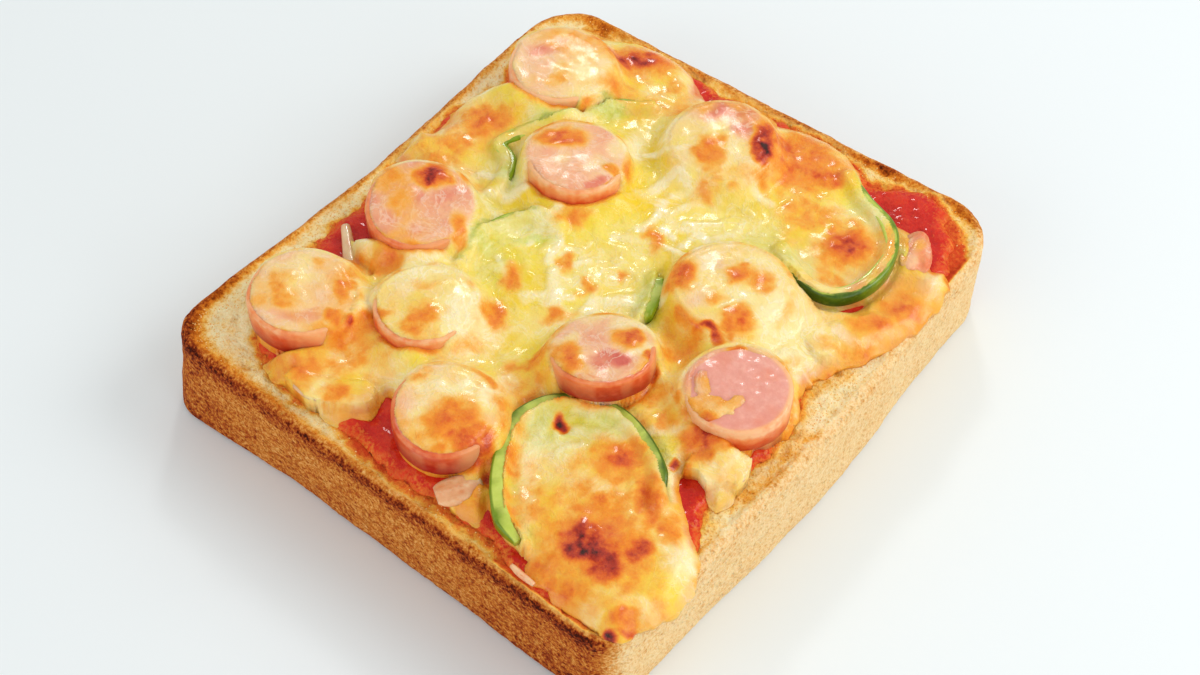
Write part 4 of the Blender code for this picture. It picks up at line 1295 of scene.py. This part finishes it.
def buildCoin(i, material):
    x, y, radius, height, seat, rise, way = coinFrame(i)
    around, shoulder = sausage["around"], sausage["round"] / radius
    angle = 2 * math.pi * np.arange(around) / around
    size = coinRadius(i, angle)
    bareWay, bareHalf = sausage["bareSides"][i]
    fromBare = np.abs(angleOff(np.degrees(angle), bareWay))
    red = sausage["red"][i]
    rows, marks = [], {"skin": [], "low": [], "film": []}

    def ringAt(reach):
        return np.column_stack((x + reach * np.cos(angle), y + reach * np.sin(angle)))

    def filmAt(p):
        # the cheese's film closes in from both ends of the bare side
        return ease(bareHalf - 30, bareHalf + 2, fromBare + 10 * cloud(p, 3, 125 + i))

    def addRow(p, **values):
        rows.append(p)
        for key, value in values.items():
            marks[key].append(value * np.ones(around))

    # the face and its shoulder, from the middle out
    shares = [*np.linspace(0.06, 1 - shoulder, sausage["faceRings"])]
    bends = np.linspace(0.2, 1.57, sausage["shoulderRings"])
    shares += [1 - shoulder + shoulder * math.sin(a) for a in bends]
    for share in shares:
        flat = ringAt(size * share)
        p = np.column_stack((flat, coinTop(i, flat)))
        dents = 0.1 * ease(0.35, 0.8, cloud(p, 1.6, 115 + i))
        p[:, 2] += relief(p, (0.05, 1.1, 100 + i), (0.08, 3.0, 110 + i)) - dents
        skin = ease(1 - 1.35 / radius, 1 - 0.6 / radius, share + 0.025 * cloud(p, 3, 120 + i))
        addRow(p, skin=skin, low=0.75 * max(red, 0), film=0.5 * skin * filmAt(p))
    # the side, down to the foot, darker the lower it lies: painted shade over the skin's own red
    rimZ = rows[-1][:, 2].copy()
    footZ = seat + ((ringAt(size) - (x, y)) @ np.array([math.cos(way), math.sin(way)])) * rise
    for drop, share in [(drop, 1.0) for drop in np.linspace(0.08, 0.86, 9)] + [(0.95, 0.97), (1.0, 0.9)]:
        flat = ringAt(size * share + 0.18 * math.sin(math.pi * drop))
        p = np.column_stack((flat, blend(rimZ, footZ, drop)))
        wrinkle = 0.09 * cloud(p * np.array([1, 1, 0.35]), 1.6, 130 + i) + 0.12 * cloud(p, 4, 140 + i)
        p[:, 0] += wrinkle * np.cos(angle)
        p[:, 1] += wrinkle * np.sin(angle)
        streaks = 0.25 * ease(0.1, 0.5, cloud(p * np.array([1, 1, 0.4]), 2.6, 127 + i)) * (1 - drop)
        addRow(p, skin=1, low=drop + red, film=np.maximum(0.65 * filmAt(p), streaks))
    p = np.vstack(rows + [[[x, y, coinTop(i, np.array([[x, y]]))[0]]], [[x, y, seat]]])
    top = len(rows) * around
    last = top - around
    k = np.arange(around)
    n = (k + 1) % around
    faces = [(a, d, c, b) for a, b, c, d in bands(len(rows), around)]
    faces += np.column_stack((np.full(around, top), k, n)).tolist()
    faces += np.column_stack((np.full(around, top + 1), last + n, last + k)).tolist()
    ends = {"skin": (0, 1), "low": (0, 1), "film": (0, 0)}
    marks = {key: np.append(np.concatenate(values), ends[key]) for key, values in marks.items()}
    return newPiece("sausageCoin%02d" % (i + 1), p, faces, marks, material)


def tube(name, line, sectionAt, marksAt, material):
    # carries a closed section (sideways, up) along a line and closes both ends
    side = normalsOf(line)[0]
    points, marks = [], []
    last = len(line) - 1
    for i in range(last + 1):
        section = sectionAt(i / last, line[i])
        points.append(np.column_stack((line[i] + side[i] * section[:, :1], section[:, 1])))
        marks.append(marksAt(i / last, section, points[-1]))
    count = len(points[0])
    faces = bands(last + 1, count)
    faces.append(list(range(count))[::-1])
    faces.append([last * count + j for j in range(count)])
    named = {key: np.concatenate([m[key] for m in marks]) for key in marks[0]}
    piece = newPiece(name, np.vstack(points), faces, named, material)
    bm = bmesh.new()
    bm.from_mesh(piece.data)
    bmesh.ops.recalc_face_normals(bm, faces=bm.faces)
    bm.to_mesh(piece.data)
    bm.free()
    return piece


def roundedBox(halfWide, halfHigh, corner, steps=5):
    points = []
    for cx, cy, first in ((1, 1, 0), (-1, 1, 90), (-1, -1, 180), (1, -1, 270)):
        for k in range(steps):
            a = math.radians(first + 90 * k / (steps - 1))
            points.append((cx * (halfWide - corner) + corner * math.cos(a),
                           cy * (halfHigh - corner) + corner * math.sin(a)))
    return np.array(points)


def buildPepper(name, material):
    section = roundedBox(pepper["wall"], pepper["high"], 0.55)

    def sectionAt(t, spot):
        tip = min(1.0, 0.45 + 6 * min(t, 1 - t))
        wob = cloud(np.array([[spot[0], spot[1], 0.0]]), 6, 150)[0]
        s = section * np.array([tip * (1 + 0.14 * wob), tip * (1 + 0.05 * wob)])
        s[:, 0] += 0.25 * skinSign(name, t) * (1 - (s[:, 1] / pepper["high"]) ** 2)
        s[:, 1] += pepper["seat"] + pepper["high"]
        return s

    def marksAt(t, s, points):
        skin = ease(0.75, 1.1, s[:, 0] * skinSign(name, t) + 0.2 * cloud(points, 1.6, 151))
        return {"skin": skin, "deep": np.full(len(s), pepperValue("deep", name, t))}

    first, *others = name.split("_")
    named = first + "".join(word.capitalize() for word in others)
    return tube(named, pepperLines[name], sectionAt, marksAt, material)


def buildOnion(i, material):
    spots, halfWide, halfHigh, low = onion["slivers"][i]
    angle = 2 * math.pi * np.arange(onion["around"]) / onion["around"]
    up = np.sin(angle)

    def sectionAt(t, spot):
        tip = 0.35 + 0.65 * math.sin(math.pi * (0.08 + 0.84 * t)) ** 0.6
        tip = tip * (1 + 0.1 * cloud(np.array([spot]), 2.5, 180 + i)[0])
        s = np.column_stack((halfWide * tip * np.cos(angle), halfHigh * np.sign(up) * np.abs(up) ** 0.8))
        ribs = 0.06 * np.cos(s[:, 0] * onion["ribs"] + 0.6 * t) * (up > 0)
        s[:, 1] += -0.35 * halfHigh * (s[:, 0] / halfWide) ** 2 + ribs
        s[:, 1] = np.clip(s[:, 1], -halfHigh, halfHigh) + (onionSeat(low) + halfHigh)
        return s

    def marksAt(t, s, points):
        rib = 0.5 + 0.5 * np.cos(s[:, 0] * onion["ribs"] + 0.6 * t)
        tan = onion["tan"][i] * 0.5 + np.abs(s[:, 0] / halfWide) ** 2 * 0.4
        return {"rib": rib, "tan": np.clip(tan + 0.4 * cloud(points, 4, 160 + i), 0, 1)}

    return tube("onionSliver%d" % (i + 1), onionLines[i], sectionAt, marksAt, material)


def buildScrap(material):
    x, y, wide, long, height, turn = sausage["scrap"]
    bm = bmesh.new()
    bmesh.ops.create_icosphere(bm, subdivisions=5, radius=1.0)
    p = np.array([v.co for v in bm.verts])
    faces = [[v.index for v in f.verts] for f in bm.faces]
    bm.free()
    p = np.sign(p) * np.abs(p) ** 0.75
    lump = 1 + 0.32 * cloud(p, 0.75, 170) + 0.12 * cloud(p, 0.35, 171)
    a = math.radians(turn)
    u, v = p[:, 0] * wide * lump * 1.1, p[:, 1] * long * lump
    spots = np.column_stack((
        x + slide[0] + u * math.cos(a) - v * math.sin(a),
        y + slide[1] + u * math.sin(a) + v * math.cos(a),
        sausage["lowSeat"] + height * (0.48 + 0.48 * np.clip(p[:, 2] * lump, -1, 1.1)),
    ))
    skin = ease(0.3, 0.8, -p[:, 0] + 0.3 * cloud(p, 0.5, 172))
    marks = {name: np.zeros(len(p)) for name in ("white", "green", "leaf")}
    marks["meat"] = 0.66 + 0.2 * cloud(p, 0.7, 173)
    marks["brown"] = np.clip(0.12 + 0.3 * skin + 0.4 * cloud(p, 0.8, 174), 0, 0.6)
    marks["thin"] = np.clip(0.3 + cloud(p, 0.6, 175), 0, 0.7)
    return newPiece("sausageScrap", spots, faces, marks, material)


# Crumbs along the cut rim, scattered by nodes

crumbs = {
    "density": 1.0,                   # to a square mm
    "seed": 7,
    "radius": 0.42,
    "smallest": 0.2,                  # shares of the radius
    "largest": 0.5,
    "dents": 0.5,
}


def crumbTree(material):
    tree = bpy.data.node_groups.new("crumbScatter", "GeometryNodeTree")
    sockets = [
        tree.interface.new_socket(name, in_out=way, socket_type="NodeSocket" + kind)
        for name, way, kind in (
            ("Geometry", "INPUT", "Geometry"), ("Crumbs per square mm", "INPUT", "Float"),
            ("Crumb size", "INPUT", "Float"), ("Seed", "INPUT", "Int"), ("Geometry", "OUTPUT", "Geometry"),
        )
    ]
    node = Nodes(tree).node
    given = tree.nodes.new("NodeGroupInput").outputs
    mesh, density, size, seed = (Sock(tree, given[k]) for k in range(4))
    zone = node("GeometryNodeInputNamedAttribute", {"data_type": "FLOAT"}, out="Attribute", Name="crumbZone")
    spread = node("GeometryNodeDistributePointsOnFaces", out="Points", Mesh=mesh, Density=zone * density,
                  Seed=seed)
    noise = node("ShaderNodeTexNoise", out="Color", Scale=2600.0)
    shift = node("ShaderNodeVectorMath", {"operation": "SUBTRACT"}, i0=noise, i1=(0.5, 0.5, 0.5))
    dents = node("ShaderNodeVectorMath", {"operation": "SCALE"}, i0=shift, Scale=crumbs["dents"] * mm)
    ball = node("GeometryNodeMeshIcoSphere", out="Mesh", Radius=crumbs["radius"] * mm, Subdivisions=2)
    grain = node("GeometryNodeSetPosition", Geometry=ball, Offset=dents)
    vector = {"data_type": "FLOAT_VECTOR"}
    turn = node("FunctionNodeRandomValue", vector, out="Value", Max=(6.283,) * 3)
    grow = node("FunctionNodeRandomValue", vector, out="Value", Min=(crumbs["smallest"],) * 3,
                Max=(crumbs["largest"],) * 3)
    scaled = node("ShaderNodeVectorMath", {"operation": "SCALE"}, i0=grow, Scale=size)
    placed = node("GeometryNodeInstanceOnPoints", out="Instances", Points=spread, Instance=grain,
                  Rotation=turn, Scale=scaled)
    real = node("GeometryNodeRealizeInstances", Geometry=placed)
    coated = node("GeometryNodeSetMaterial", Geometry=real, Material=material)
    give(tree.nodes.new("NodeGroupOutput").inputs["Geometry"], coated)
    return tree, [socket.identifier for socket in sockets[1:4]]


def markOf(mesh, name):
    values = np.empty(len(mesh.vertices), np.float32)
    mesh.attributes[name].data.foreach_get("value", values)
    return values


def scatterCrumbs(loaf, material):
    mesh = loaf.data.copy()
    co = np.empty(len(mesh.vertices) * 3)
    mesh.vertices.foreach_get("co", co)
    co = co.reshape(-1, 3) / mm
    inset = edgeDistance(co[:, :2], plainOutline)
    zone = markOf(mesh, "cut") * ease(2.2, 3.0, inset) * ease(9, 6, inset) * (co[:, 2] > 22)
    zone = zone * ease(0.6, -0.2, sauceReach(co[:, :2])) * (1 - markOf(mesh, "stain"))
    addMark(mesh, "crumbZone", zone)
    holder = put("crumbHolder", mesh)
    tree, names = crumbTree(material)
    scatter = holder.modifiers.new("Crumbs", "NODES")
    scatter.node_group = tree
    for name, value in zip(names, (crumbs["density"] / mm ** 2, 1.0, crumbs["seed"])):
        scatter[name] = value
    graph = bpy.context.evaluated_depsgraph_get()
    made = bpy.data.meshes.new_from_object(holder.evaluated_get(graph))
    bpy.data.objects.remove(holder, do_unlink=True)
    made.name = "crumbGrains"
    return put("crumbGrains", made)


loaf = dressed(buildBread(breadFinish()), "toasted_bread", "bread")
print("bread", len(loaf.data.polygons))
sauceLayer = layerSheet("tomatoSauce", roomy(sauceEdge), sauce["step"], raggedSauce, sauceShape,
                        sauce["floor"], sauceFinish())
dressed(sauceLayer, "tomato_sauce", "sauce")
print("sauce", len(sauceLayer.data.polygons))
coinSpots = np.array([coinFrame(i)[:2] for i in range(coinCount)])
cheeseRoom = roomy(np.vstack((cheeseEdge, coinSpots - 12, coinSpots + 12)))
cheeseLayer = layerSheet("meltedCheese", cheeseRoom, cheese["step"], cheeseReach, cheeseShape,
                         cheese["floor"], cheeseFinish())
dressed(cheeseLayer, "melted_cheese", "cheese")
print("cheese", len(cheeseLayer.data.polygons))
meatLook = meatFinish()
for i in range(coinCount):
    dressed(buildCoin(i, meatLook), "sausage_meat", "sausage_%02d" % (i + 1))
dressed(buildScrap(cheeseLayer.data.materials[0]), "sausage_meat", "sausage_scrap")
pepperLook = pepperFinish()
for name in pepperLines:
    dressed(buildPepper(name, pepperLook), "green_pepper", name)
onionLook = onionFinish()
for i in range(len(onionLines)):
    dressed(buildOnion(i, onionLook), "onion", "onion_%d" % (i + 1))
print("toppings")
dressed(scatterCrumbs(loaf, crumbFinish()), "toasted_bread")
print("crumbs")


# Floor, light and camera

studio = {
    "floorHalf": 3.0,
    "floorHeight": -0.0002,
    "worldColour": (1.0, 0.99, 0.97, 1),
    "world": 0.64,
    "lamps": (
        # name, place, aim, width, watts
        ("windowRight", (0.5, 0.42, 0.6), (0, 0, 0.02), 0.45, 3.0),
        ("glint", (-0.3, 0.44, 0.52), (0, 0, 0.02), 0.09, 0.62),
        ("softFront", (-0.1, -0.75, 0.35), (0, 0, 0.01), 0.6, 1.6),
        ("softSide", (0.8, -0.1, 0.3), (0, 0, 0.01), 0.5, 1.15),
    ),
}


def facing(way):
    return Vector(way).to_track_quat("-Z", "Y").to_euler()


def buildFloor():
    bm = bmesh.new()
    bmesh.ops.create_grid(bm, x_segments=2, y_segments=2, size=studio["floorHalf"])
    for v in bm.verts:
        v.co.z = studio["floorHeight"]
    mesh = bpy.data.meshes.new("floor")
    bm.to_mesh(mesh)
    bm.free()
    piece = put("floor", mesh)
    mesh.materials.append(floorFinish())


def buildStudio():
    scene = bpy.context.scene
    scene.view_settings.view_transform = "Standard"
    scene.world = bpy.data.worlds.new("studio")
    scene.world.use_nodes = True
    sky = scene.world.node_tree.nodes["Background"].inputs
    sky["Color"].default_value = studio["worldColour"]
    sky["Strength"].default_value = studio["world"]
    for name, place, aim, width, watts in studio["lamps"]:
        lamp = bpy.data.lights.new(name, "AREA")
        lamp.size = width
        lamp.energy = watts
        holder = put(name, lamp)
        holder.location = place
        holder.rotation_euler = facing(Vector(aim) - Vector(place))


def buildCamera():
    lens = bpy.data.cameras.new("camera")
    lens.sensor_width = camera["sensor"]
    lens.lens = camera["lens"]
    lens.clip_start = camera["clip"] * mm
    holder = put("camera", lens)
    holder.location = cameraPlace * mm
    holder.rotation_euler = facing(lookAlong)
    bpy.context.scene.camera = holder


buildFloor()
buildStudio()
buildCamera()
print("studio")
